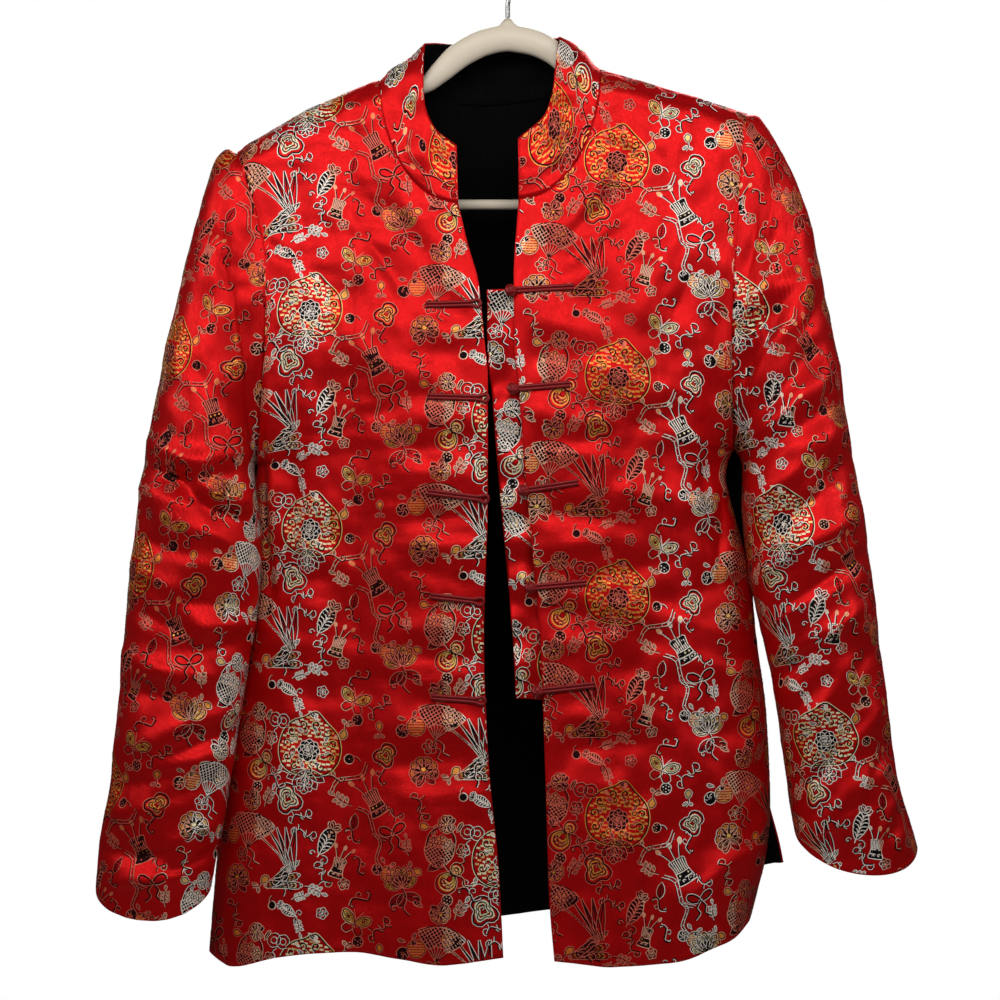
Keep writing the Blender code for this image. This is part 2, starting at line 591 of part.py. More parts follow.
def frog_rings(tree, frog, places, widths, heights):
    """Rings of a frog that lies on a front, at each place in millimetres from its outer end."""
    start = np.array((frog.outer_x, frog.outer_z))
    end = np.array((frog.inner_x, frog.inner_z))
    run = unit(end - start)
    turn = np.array((-run[1], run[0]))
    last_rest = np.linalg.norm(end - start) - EDGE_MARGIN
    around = np.radians(360 / FROG_SIDES * (np.arange(FROG_SIDES) + 0.5))
    rings = []
    for place, width, height in zip(places, widths, heights):
        point = start + run * place
        rest = start + run * min(place, last_rest)
        side = width / 2 * np.cos(around)
        lies = min(width, STRIP_WIDTH) / 2 * np.cos(around)
        y = np.array([surface_y(tree, *(rest + turn * over)) for over in lies])
        y = y - FROG_LIFT - height / 2 * (1 + np.sin(around))
        rings.append(np.stack((point[0] + turn[0] * side, y, point[1] + turn[1] * side), -1))
    return np.array(rings)


def make_frogs(fronts):
    loop_tree = surface_tree(fronts["front_right"].outer)
    knot_tree = surface_tree(fronts["front_left"].outer)
    strip_widths = [STRIP_WIDTH] * FROG_STEPS
    strip_heights = [STRIP_HEIGHT] * FROG_STEPS
    for number, frog in enumerate(LOOPS, 1):
        length = math.hypot(frog.inner_x - frog.outer_x, frog.inner_z - frog.outer_z)
        strip = np.linspace(0, length - LOOP_END_WIDTH, FROG_STEPS)
        places = [*strip, length - LOOP_END_WIDTH / 2, length]
        widths = [*strip_widths, LOOP_END_WIDTH, STRIP_WIDTH]
        heights = [*strip_heights, STRIP_HEIGHT, STRIP_HEIGHT]
        rings = frog_rings(loop_tree, frog, places, widths, heights)
        add_bar(f"loop_{number}", rings, RED_CORD)
    turns = np.radians(BALL_TURNS)
    ball_sizes = list(BALL * np.cos(turns))
    for number, frog in enumerate(KNOTS, 1):
        length = math.hypot(frog.inner_x - frog.outer_x, frog.inner_z - frog.outer_z)
        strip = np.linspace(0, length - BALL / 2 - STRIP_HEIGHT, FROG_STEPS)
        places = [*strip, *(length + BALL / 2 * np.sin(turns))]
        widths = strip_widths + ball_sizes
        heights = strip_heights + ball_sizes
        rings = frog_rings(knot_tree, frog, places, widths, heights)
        add_bar(f"knot_{number}", rings, RED_CORD)


def resting_bars(places, side):
    """The stretch of a hanger arm that carries a shoulder, set just under the cloth."""
    under = FRONT_WALL + SEAT_GAP + LAYER_GAP
    bars = []
    for x in places:
        slope = (shoulder_line(np.array(x + 1.0)) - shoulder_line(np.array(x - 1.0))) / 2
        reach = (HANGER_REST_HEIGHT / 2 + under) * math.sqrt(1 + float(slope) ** 2)
        bars.append(Bar(x, float(shoulder_line(np.array(float(x)))) - reach, HANGER_REST_HEIGHT))
    return bars


def make_hanger():
    bars = resting_bars(HANGER_REST_RIGHT, RIGHT) + list(HANGER_NECK)
    bars += resting_bars(HANGER_REST_LEFT, LEFT) + list(HANGER_FOOT)
    middle = np.array([(bar.x, bar.z) for bar in bars])
    height = np.array([bar.height for bar in bars])
    ahead, behind = np.roll(middle, -1, axis=0), np.roll(middle, 1, axis=0)
    run = unit(ahead - behind)
    upward = np.stack((-run[:, 1], run[:, 0]), -1)
    foot = np.arange(len(bars)) >= len(bars) - len(HANGER_FOOT)
    thickness = np.where(foot, FOOT_THICKNESS, ARM_THICKNESS)
    around = np.radians(360 / HANGER_SIDES * np.arange(HANGER_SIDES))
    rings = []
    for place, point in enumerate(middle):
        top = height[place] / 2
        nub = 0.0
        if not foot[place]:
            nub = (NUB_TOP - (point[1] + top)) * math.exp(-((point[0] / NUB_SPREAD) ** 2))
        stretch = np.where(np.sin(around) > 0.9, top + max(nub, 0), top)
        rise = stretch * np.sin(around) / math.cos(math.pi / HANGER_SIDES)
        over = upward[place]
        rings.append(np.stack((point[0] + over[0] * rise,
                               thickness[place] / 2 * np.cos(around),
                               point[1] + over[1] * rise), -1))
    rings.append(rings[0])
    add_bar("hanger", np.array(rings), CREAM_PLASTIC)


def make_hook():
    """The wire hook: a stem out of the hanger, and an eye whose inside top is the origin."""
    radius = HOOK_INNER + HOOK_WIRE / 2
    middle_z = -HOOK_INNER
    angles = np.radians(np.linspace(HOOK_START, HOOK_END, HOOK_ARC_STEPS + 1))
    arc = [(radius * math.cos(a), middle_z + radius * math.sin(a)) for a in angles]
    start = np.array((0.0, HOOK_STEM_TOP))
    end = np.array(arc[0])
    pull = np.linalg.norm(end - start) / 2
    start_grip = start + np.array((0, pull))
    end_grip = end - pull * np.array((-math.sin(angles[0]), math.cos(angles[0])))
    points = [(0.0, NUB_TOP + HOOK_GAP)]
    for t in np.linspace(0, 1, HOOK_STEM_STEPS + 1)[:-1]:
        point = ((1 - t) ** 3 * start + 3 * t * (1 - t) ** 2 * start_grip
                 + 3 * t * t * (1 - t) * end_grip + t**3 * end)
        points.append(tuple(point))
    points += arc
    curve = bpy.data.curves.new("hook", "CURVE")
    curve.dimensions = "3D"
    curve.bevel_depth = HOOK_WIRE / 2 * MM
    curve.bevel_resolution = 2
    curve.use_fill_caps = True
    spline = curve.splines.new("POLY")
    spline.points.add(len(points) - 1)
    for target, (x, z) in zip(spline.points, points):
        target.co = (x * MM, 0, z * MM, 1)
    curve.materials.append(make_material(STEEL_WIRE))
    bpy.context.scene.collection.objects.link(bpy.data.objects.new("hook", curve))


def main():
    for old in list(bpy.data.objects):
        bpy.data.objects.remove(old)
    fronts = make_fronts()
    back = make_back()
    make_sleeve("sleeve_right", RIGHT, SLEEVE_RIGHT, fronts["front_right"], back)
    make_sleeve("sleeve_left", LEFT, SLEEVE_LEFT, fronts["front_left"], back)
    make_collar(fronts, back)
    make_placket(fronts["front_left"])
    make_frogs(fronts)
    make_hanger()
    make_hook()


main()
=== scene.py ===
"""The finish of a red brocade jacket on its hanger: creased satin, woven threads, frogs and plastic.

Lengths in the tables are millimetres, as in the part's source, and metres where an object is made.
"""

import math
from collections import namedtuple
from types import SimpleNamespace

import bmesh
import bpy
import numpy as np
from mathutils import Euler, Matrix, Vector
from mathutils.bvhtree import BVHTree


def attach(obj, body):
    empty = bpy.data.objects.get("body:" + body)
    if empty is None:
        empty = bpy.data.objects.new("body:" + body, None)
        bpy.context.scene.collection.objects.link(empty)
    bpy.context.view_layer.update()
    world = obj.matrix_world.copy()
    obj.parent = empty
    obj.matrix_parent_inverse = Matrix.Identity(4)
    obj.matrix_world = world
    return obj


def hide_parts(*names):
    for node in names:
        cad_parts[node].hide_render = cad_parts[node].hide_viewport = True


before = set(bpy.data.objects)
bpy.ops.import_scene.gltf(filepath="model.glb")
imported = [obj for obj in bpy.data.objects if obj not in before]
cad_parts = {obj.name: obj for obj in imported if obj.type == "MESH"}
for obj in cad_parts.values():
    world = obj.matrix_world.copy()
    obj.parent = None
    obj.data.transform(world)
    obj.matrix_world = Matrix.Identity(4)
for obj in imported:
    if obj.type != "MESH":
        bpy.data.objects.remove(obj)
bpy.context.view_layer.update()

MM = 0.001

# Cut of the jacket, as the part's source has it, with its sides let out to meet the sleeves
SEAM_GAP = 0.35
SHOULDER_ROLL = 21.0
SIDE_FULLNESS = (2.6, 2.2)
NECK_ROW = 7
ARM_ROW = 11
VENT_ROW = 20
HEM_ROW = 23
NECK_ANGLES = (0, 1, 4, 13, 28, 46, 66, 90)
ARM_SPLIT = (0, 0.006, 0.03, 0.095, 0.2, 0.33, 0.48, 0.63, 0.77, 0.89, 0.97, 1)

Level = namedtuple("Level", "z x")
Share = namedtuple("Share", "at value")
Fold = namedtuple("Fold", "x z length turn width height")
Ring = namedtuple("Ring", "inner_x inner_z outer_x outer_z half_depth mid_y")
TopEdge = namedtuple("TopEdge", "share x y z")
Bulge = namedtuple("Bulge", "reach z spread")

FRONT_DEPTH = (Share(0, 0), Share(40, 4), Share(100, 12), Share(200, 27), Share(300, 33),
               Share(420, 32), Share(520, 35), Share(620, 38), Share(700, 39))
BACK_DEPTH = (Share(0, 0), Share(40, 5), Share(100, 13), Share(200, 21), Share(300, 22),
              Share(420, 21), Share(520, 26), Share(620, 32), Share(700, 35))
ARM_DEPTH = (Share(0, 0), Share(0.2, 5), Share(0.45, 14), Share(0.6, 15), Share(1, 15))
ARM_CLOSE_FROM = 0.55

RIGHT = SimpleNamespace(
    out=-1,
    neck=(-98.6, -108.6),
    shoulder=(-210.0, -164.4),
    shoulder_bow=5.0,
    throat=(-38.1, -206.0),
    armpit_z=-407.0,
    edge_armpit_z=-385.0,
    vent_z=-690.0,
    hem_side_z=-783.0,
    hem_edge_z=-781.0,
    back_hem_side_z=-778.0,
    armhole=(Share(0, -210), Share(0.08, -203.5), Share(0.2, -193.5), Share(0.36, -186),
             Share(0.5, -186), Share(0.76, -189.5), Share(1, -194.5)),
    edge=(Level(-206, -38.1), Level(-236, -31.2), Level(-269, -22.2), Level(-313, -17.8),
          Level(-339, -15.3), Level(-426, -15.2), Level(-540, -18.2), Level(-624, -15.2),
          Level(-716, -6.9), Level(-781, -3.4)),
    side=(Level(-407, -194.5), Level(-430, -196), Level(-480, -194.5), Level(-541, -202),
          Level(-628, -214.5), Level(-707, -225), Level(-783, -231.5)),
    back_side=(Level(-690, -221.5), Level(-778, -229)),
    back_bulge=Bulge(8, -440, 55),
    hem_wave=(Share(0, 0), Share(0.2, -5.2), Share(0.35, 0), Share(0.5, 4.5), Share(0.62, 4),
              Share(0.75, 0), Share(0.92, -9), Share(1, 0)),
    folds=(Fold(-176, -400, 240, 2, 15, -6), Fold(-76, -256, 130, 31, 18, -5),
           Fold(-116, -500, 400, 1, 18, -4), Fold(-160, -715, 170, 5, 24, 6),
           Fold(-62, -735, 150, -4, 26, 6)),
)

LEFT = SimpleNamespace(
    out=1,
    neck=(71.6, -100.0),
    shoulder=(186.0, -134.5),
    shoulder_bow=0.5,
    throat=(8.2, -203.0),
    armpit_z=-396.0,
    edge_armpit_z=-385.0,
    vent_z=-672.0,
    hem_side_z=-758.0,
    hem_edge_z=-783.6,
    back_hem_side_z=-715.0,
    armhole=(Share(0, 186), Share(0.1, 181.5), Share(0.25, 178), Share(0.45, 174),
             Share(0.7, 172.5), Share(1, 175)),
    edge=(Level(-203, 8.2), Level(-268, 4.4), Level(-313, 4.7), Level(-354, 8.5),
          Level(-419, 13.5), Level(-479, 19.1), Level(-548, 24.8), Level(-641, 28.3),
          Level(-742, 31.6), Level(-784, 35.2)),
    side=(Level(-396, 175), Level(-405, 171), Level(-416, 169), Level(-430, 171.5),
          Level(-457, 179), Level(-488, 187), Level(-542, 193), Level(-600, 200.5),
          Level(-672, 203.5), Level(-700, 201.5), Level(-745, 191.5), Level(-758, 188)),
    back_side=(Level(-672, 203.5), Level(-700, 211), Level(-715, 214)),
    back_bulge=Bulge(17, -428, 44),
    hem_wave=(Share(0, 0), Share(0.14, -6), Share(0.28, -11.3), Share(0.42, -14),
              Share(0.62, -17.8), Share(0.8, -13.6), Share(0.91, -9.2), Share(1, 0)),
    folds=(Fold(160, -395, 220, -3, 15, -6), Fold(119, -460, 300, -2, 18, -4),
           Fold(118, -262, 120, -30, 18, 4), Fold(72, -735, 150, 3, 26, 6),
           Fold(160, -728, 80, -52, 16, 6)),
)

BACK = SimpleNamespace(
    bulge_top=-378.0,
    bulge_start=16.0,
    neck_dip=18.0,
    neck_dip_power=0.7,
    hem_middle_z=-764.0,
    folds=(Fold(-100, -470, 360, 1, 20, -5), Fold(80, -460, 360, -1, 20, -5),
           Fold(-155, -700, 180, 4, 26, 6), Fold(-12, -690, 220, 0, 32, 7),
           Fold(140, -650, 160, -5, 26, 6)),
)

COLLAR_RIGHT = (TopEdge(0, -64.7, 3, -79), TopEdge(0.17, -65, -6, -92),
                TopEdge(0.34, -65, -12, -108), TopEdge(0.54, -64, -17, -127),
                TopEdge(0.78, -56, -22, -148), TopEdge(1, -39.3, -27, -161.5))
COLLAR_LEFT = (TopEdge(0, 41.6, -2, -73.5), TopEdge(0.13, 39, -10.5, -82),
               TopEdge(0.32, 36.8, -15, -98), TopEdge(0.51, 34.8, -18, -116),
               TopEdge(0.75, 28.5, -22, -137), TopEdge(1, 7.9, -27, -156))
COLLAR_BACK = (TopEdge(0, -64.7, 3, -79), TopEdge(0.25, -44, 16.5, -78.5),
               TopEdge(0.5, -12, 21, -77), TopEdge(0.75, 20, 18, -75),
               TopEdge(0.92, 36.5, 10, -73.8), TopEdge(1, 41.6, -2, -73.5))

SLEEVE_RIGHT = (
    Ring(-196, -411, -217, -162, 38, 0), Ring(-196, -415, -225, -168, 42, -1),
    Ring(-195.5, -421, -233, -190, 45, -3), Ring(-194, -431, -244, -232, 48, -7),
    Ring(-191.5, -446, -256.5, -284, 50, -12), Ring(-189.5, -468, -267, -336, 50, -17),
    Ring(-190, -496, -277, -390, 48.5, -21), Ring(-194, -530, -285, -445, 46, -24),
    Ring(-200, -568, -291, -500, 43, -26), Ring(-206, -606, -296, -555, 40.5, -27),
    Ring(-212, -645, -301, -610, 38, -28), Ring(-218, -680, -306.5, -660, 35, -28),
    Ring(-223, -707, -314, -700, 32.5, -28), Ring(-227, -728, -316, -729, 30, -28),
)
SLEEVE_LEFT = (
    Ring(178.5, -400, 193, -136, 38, 0), Ring(180, -404, 202, -147, 42, -1),
    Ring(181.5, -410, 215, -170, 45, -3), Ring(181.5, -420, 231, -210, 48, -6),
    Ring(181, -436, 243.5, -268, 50, -9), Ring(182, -458, 255, -326, 50, -12),
    Ring(185.5, -489, 265.5, -398, 48, -14), Ring(193, -524, 276, -457, 45, -15),
    Ring(201, -560, 282, -506, 42, -16), Ring(207.5, -596, 288, -556, 39, -16),
    Ring(212, -628, 294, -602, 36.5, -16), Ring(215.5, -656, 300.5, -648, 34, -16),
    Ring(218, -674, 309, -678, 32, -16), Ring(221, -688, 316, -701, 30, -16),
)
CUFF_DIP = 25.0
CUFF_DIP_RINGS = 3

PLACKET_TOP = -274.0
PLACKET_BOTTOM = -585.0
PLACKET_SHOWS = 20.5
PLACKET_TUCK = 15.0
PLACKET_BEHIND = 3.4  # from the face of the left front

Frog = namedtuple("Frog", "outer_x outer_z inner_x inner_z")
LOOPS = (Frog(-62.8, -284.8, -20.5, -284), Frog(-61.3, -355, -14.5, -356.6),
         Frog(-60.9, -427.8, -14.5, -433.5), Frog(-58.9, -506.7, -18, -511.5),
         Frog(-57.9, -583.7, -17, -586.8))
KNOTS = (Frog(50.5, -271.3, 2.1, -274.2), Frog(47.3, -345.7, 3.5, -349.4),
         Frog(53.5, -420.4, 11.5, -426.7), Frog(59.8, -496.7, 17.2, -500.5),
         Frog(66, -574.3, 22.2, -579.2))
EDGE_MARGIN = 7.0

Bar = namedtuple("Bar", "x z height")
HANGER_BARS = (
    Bar(-172, -153.7, 12), Bar(-148, -141.3, 12), Bar(-124, -129.8, 12), Bar(-103, -120.8, 12),
    Bar(-80, -116.3, 12), Bar(-64, -112, 13), Bar(-52, -102, 17), Bar(-38, -89.6, 20),
    Bar(-20, -80, 20.5), Bar(-9, -77, 20.5), Bar(0, -76, 20.5), Bar(9, -77, 20.5),
    Bar(20, -79.4, 20), Bar(35, -86.8, 18.5), Bar(49, -101, 14), Bar(60, -108.5, 12),
    Bar(71, -112, 12), Bar(84, -113.7, 12), Bar(106, -120.2, 12), Bar(132, -128, 12),
    Bar(168, -139, 12), Bar(178, -144, 11), Bar(182, -156, 10), Bar(181, -176, 9),
    Bar(172, -196, 8.5), Bar(152, -205, 8), Bar(90, -205, 8), Bar(30, -205, 8),
    Bar(-30, -205, 8), Bar(-90, -205, 8), Bar(-152, -205, 8), Bar(-174, -198, 8.5),
    Bar(-184, -182, 9), Bar(-185.5, -167, 10), Bar(-181.5, -158, 11),
)
HANGER_FOOT_BARS = 14
NUB_TOP = -60.0


# Lines and surfaces of the cut
def smooth(rows, at):
    """A smooth line through a table's first two columns, which never swings past its values."""
    keys = np.array([row[0] for row in rows], float)
    values = np.array([row[1] for row in rows], float)
    if keys[0] > keys[-1]:
        keys, values = keys[::-1], values[::-1]
    return smooth_stack(keys, values, at)


def smooth_stack(keys, values, at):
    """The same line through whole arrays of values, one for each key."""
    at = np.clip(np.asarray(at, float), keys[0], keys[-1])
    step = np.diff(keys).reshape(-1, *[1] * (values.ndim - 1))
    rise = np.diff(values, axis=0) / step
    slope = np.empty_like(values)
    slope[0], slope[-1] = rise[0], rise[-1]
    product = rise[1:] * rise[:-1]
    total = np.where(product > 0, rise[1:] + rise[:-1], 1)
    slope[1:-1] = np.where(product > 0, 2 * product / total, 0)
    part = np.clip(np.searchsorted(keys, at) - 1, 0, len(step) - 1)
    span = np.diff(keys)[part]
    t = (at - keys[part]) / span
    extra = [1] * (values.ndim - 1)
    t = t.reshape(*t.shape, *extra)
    span = span.reshape(*span.shape, *extra)
    start, end = values[part], values[part + 1]
    lean_in, lean_out = slope[part] * span, slope[part + 1] * span
    return (start * (1 + 2 * t) * (1 - t) ** 2 + lean_in * t * (1 - t) ** 2
            + end * t * t * (3 - 2 * t) + lean_out * t * t * (t - 1))


def mix(a, b, share):
    return a + (b - a) * share


def column(rows, name):
    return [(row[0], getattr(row, name)) for row in rows]


def unit(vectors):
    return vectors / np.maximum(np.linalg.norm(vectors, axis=-1, keepdims=True), 1e-9)


def roll(drop):
    turn = np.clip(drop, 0, SHOULDER_ROLL)
    return np.sqrt(turn * (2 * SHOULDER_ROLL - turn))


def body_round(across):
    fullness, closing = SIDE_FULLNESS
    return (1 - np.clip(np.abs(across), 0, 1) ** fullness) ** (1 / closing)


def shoulder_line(x):
    heights = mix(RIGHT.neck[1], LEFT.neck[1], (x - RIGHT.neck[0]) / (LEFT.neck[0] - RIGHT.neck[0]))
    for side in (RIGHT, LEFT):
        along = (x - side.neck[0]) / (side.shoulder[0] - side.neck[0])
        seam = mix(side.neck[1], side.shoulder[1], along)
        seam = seam + side.shoulder_bow * 4 * np.clip(along, 0, 1) * (1 - np.clip(along, 0, 1))
        heights = np.where(along > 0, seam, heights)
    return heights


def fold_height(folds, x, z, sharpness=2.0):
    """How far the folds lift the cloth at each point."""
    total = np.zeros_like(x)
    for fold in folds:
        turn = math.radians(fold.turn)
        over = x - fold.x
        down = fold.z - z
        along = down * math.cos(turn) + over * math.sin(turn)
        across = over * math.cos(turn) - down * math.sin(turn)
        ends = np.exp(-((2 * along / fold.length) ** 4))
        total += fold.height * ends * np.exp(-np.abs(across / fold.width) ** sharpness)
    return total


def arm_share(row):
    return smooth(list(enumerate(ARM_SPLIT)), row)


def outer_line(side, row, hem_z, low_side):
    share = arm_share(row)
    arm_z = mix(side.shoulder[1], side.armpit_z, share)
    side_z = np.interp(row, (ARM_ROW, VENT_ROW, HEM_ROW), (side.armpit_z, side.vent_z, hem_z))
    x = np.where(row <= ARM_ROW, smooth(side.armhole, share), smooth(side.side, side_z))
    x = np.where(row > VENT_ROW, smooth(low_side, side_z), x)
    return x, np.where(row <= ARM_ROW, arm_z, side_z)


def inner_line(side, row):
    angle = np.radians(smooth(list(enumerate(NECK_ANGLES)), row))
    neck_x = mix(side.throat[0], side.neck[0], np.cos(angle))
    neck_z = mix(side.neck[1], side.throat[1], np.sin(angle))
    edge_z = np.interp(row, (NECK_ROW, ARM_ROW, HEM_ROW),
                       (side.throat[1], side.edge_armpit_z, side.hem_edge_z))
    x = np.where(row <= NECK_ROW, neck_x, smooth(side.edge, edge_z))
    return x, np.where(row <= NECK_ROW, neck_z, edge_z)


def arm_half_depth(share, height):
    low = np.clip((share - ARM_CLOSE_FROM) / (1 - ARM_CLOSE_FROM), 0, 1)
    return (roll(share * height) + smooth(ARM_DEPTH, share)) * np.sqrt(1 - low**2)


def front_panel(side, across, row):
    """Points of a front's outer face. Across runs from 0 at its front edge to 1 at its side."""
    outer_x, outer_z = outer_line(side, row, side.hem_side_z, side.side)
    inner_x, inner_z = inner_line(side, row)
    x = mix(inner_x, outer_x, across)
    high = (1 - row / HEM_ROW) ** 2
    low = np.clip((row - ARM_ROW - 4) / (HEM_ROW - ARM_ROW - 4), 0, 1) ** 2
    z = mix(inner_z, outer_z, across) + side.shoulder_bow * 4 * across * (1 - across) * high
    z = z + smooth(side.hem_wave, across) * low
    drop = np.clip(shoulder_line(x) - z, 0, None) * (row > 0)
    middle = roll(drop) + smooth(FRONT_DEPTH, drop)
    arm = arm_half_depth(arm_share(row), side.shoulder[1] - side.armpit_z) * (row < ARM_ROW)
    depth = arm + (middle - arm) * body_round(across)
    depth = depth + fold_height(side.folds, x, z) * np.clip(1 - across, 0, 0.2) / 0.2
    return np.stack((x, -SEAM_GAP / 2 - depth, z), -1)


def back_outer_line(side, row):
    """A side of the back, which shows beyond the front's side below the armpit."""
    x, z = outer_line(side, row, side.back_hem_side_z, side.back_side)
    below = np.clip((BACK.bulge_top - z) / BACK.bulge_start, 0, 1)
    bulge = side.back_bulge
    return x + side.out * bulge.reach * np.exp(-(((z - bulge.z) / bulge.spread) ** 2)) * below, z


def back_panel(across, row):
    """Points of the back's outer face. Across runs from -1 at the wearer's right to 1 at the left."""
    right_x, right_z = back_outer_line(RIGHT, row)
    left_x, left_z = back_outer_line(LEFT, row)
    share = (across + 1) / 2
    x = mix(right_x, left_x, share)
    top_x = mix(RIGHT.shoulder[0], LEFT.shoulder[0], share)
    neck_half = (LEFT.neck[0] - RIGHT.neck[0]) / 2
    beside = np.clip(np.abs(top_x - RIGHT.neck[0] - neck_half) / neck_half, 0, 1)
    top_z = shoulder_line(top_x) - BACK.neck_dip * (1 - beside**2) ** BACK.neck_dip_power
    swing = (LEFT.back_hem_side_z - RIGHT.back_hem_side_z) / 2
    lift = (LEFT.back_hem_side_z + RIGHT.back_hem_side_z) / 2 - BACK.hem_middle_z
    hem_z = BACK.hem_middle_z + swing * across + lift * across**2
    right_down = (RIGHT.shoulder[1] - right_z) / (RIGHT.shoulder[1] - RIGHT.back_hem_side_z)
    left_down = (LEFT.shoulder[1] - left_z) / (LEFT.shoulder[1] - LEFT.back_hem_side_z)
    z = mix(top_z, hem_z, mix(right_down, left_down, share))
    drop = np.clip(shoulder_line(x) - z, 0, None)
    drop = np.where((row == 0) & (beside >= 1 - 1e-6), 0, drop)
    middle = roll(drop) + smooth(BACK_DEPTH, drop)
    height = mix(RIGHT.shoulder[1] - RIGHT.armpit_z, LEFT.shoulder[1] - LEFT.armpit_z, share)
    arm = arm_half_depth(arm_share(row), height) * (row < ARM_ROW)
    depth = arm + (middle - arm) * body_round(across)
    depth = depth + fold_height(BACK.folds, x, z) * np.clip(1 - np.abs(across), 0, 0.2) / 0.2
    return np.stack((x, SEAM_GAP / 2 + depth, z), -1)


def armhole_loop(side, down, forward):
    """The armhole's points, at each share down it, in front where forward is 1 and behind at -1."""
    x = smooth(side.armhole, down) + side.out * SEAM_GAP
    z = mix(side.shoulder[1], side.armpit_z, down)
    y = -forward * arm_half_depth(down, side.shoulder[1] - side.armpit_z)
    return np.stack((x, y, z), -1)


def sleeve_surface(side, rings, around, steps):
    """Points of a sleeve: rows from the armhole to the cuff, each round from underarm to underarm."""
    turn = np.linspace(-math.pi, math.pi, around + 1)
    down = (1 - np.cos(turn)) / 2
    bulge = np.sin(turn)
    stack = [armhole_loop(side, down, np.where(turn >= 0, 1, -1))]
    for number, ring in enumerate(rings):
        x = mix(ring.outer_x, ring.inner_x, down)
        z = mix(ring.outer_z, ring.inner_z, down)
        dip = CUFF_DIP * max(0, number + 1 + CUFF_DIP_RINGS - len(rings)) / CUFF_DIP_RINGS
        z = z - dip * np.clip(bulge, 0, 1)
        stack.append(np.stack((x, ring.mid_y - ring.half_depth * bulge, z), -1))
    stack = np.array(stack)
    keys = np.arange(len(stack), dtype=float)
    return smooth_stack(keys, stack, np.linspace(0, len(stack) - 1, steps))


def grid_normals(points, outward):
    """Unit normals of a grid of points, turned so that they agree on the whole with outward."""
    down = np.gradient(points, axis=0)
    over = np.gradient(points, axis=1)
    facing = unit(np.cross(over, down))
    return facing * np.sign((facing * outward).sum(axis=-1).sum())


# Creases of the cloth that the part's solids leave out
CREASES_RIGHT = (
    Fold(-116, -465, 440, 1, 2.6, -1.9), Fold(-70, -240, 90, 36, 8, -3.6),
    Fold(-154, -143, 118, -63, 3, -1.6), Fold(-188, -432, 150, 3, 5, -5),
    Fold(-178, -241, 40, 70, 4, -3.0), Fold(-94, -252, 60, 34, 6, -3.4),
    Fold(-88, -226, 80, 30, 9, 2.6), Fold(-52, -262, 70, 44, 7, 2.2),
    Fold(-168, -385, 190, 3, 7, -3.2), Fold(-183, -392, 170, 2, 6, 2.6),
    Fold(-151, -372, 150, 4, 9, 2.4), Fold(-132, -410, 130, -6, 9, -2.0),
    Fold(-46, -304, 66, 84, 7, 2.4), Fold(-50, -322, 60, 96, 7, -2.2),
    Fold(-44, -372, 62, 80, 8, 2.6), Fold(-52, -392, 70, 98, 7, -2.4),
    Fold(-46, -414, 60, 84, 7, 2.0), Fold(-52, -448, 74, 100, 8, -2.6),
    Fold(-44, -470, 66, 88, 8, 2.6), Fold(-52, -492, 60, 76, 7, -2.0),
    Fold(-46, -528, 70, 94, 8, 2.6), Fold(-54, -552, 80, 84, 8, -2.4),
    Fold(-42, -570, 56, 98, 7, 2.2), Fold(-46, -606, 76, 86, 9, 2.6),
    Fold(-60, -632, 90, 100, 10, -2.4), Fold(-50, -660, 80, 92, 9, 2.0),
    Fold(-90, -330, 90, 70, 10, 2.0), Fold(-96, -366, 90, 112, 9, -2.0),
    Fold(-128, -300, 100, 40, 11, 2.2), Fold(-150, -262, 110, 24, 11, -2.2),
    Fold(-124, -222, 90, 60, 12, 2.0), Fold(-160, -206, 70, 14, 10, -1.8),
    Fold(-150, -470, 110, 62, 10, 2.0), Fold(-172, -500, 100, 104, 9, -2.2),
    Fold(-140, -548, 110, 76, 10, 2.2), Fold(-170, -585, 110, 96, 10, -2.2),
    Fold(-150, -640, 120, 8, 10, 2.4), Fold(-184, -660, 150, 10, 9, -2.4),
    Fold(-196, -720, 110, 12, 8, 2.2), Fold(-122, -700, 150, -3, 10, -2.6),
    Fold(-88, -730, 120, -6, 9, 2.4), Fold(-38, -742, 90, 2, 9, -2.4),
    Fold(-24, -690, 120, -2, 7, 1.8), Fold(-80, -575, 70, 64, 9, -1.8),
)
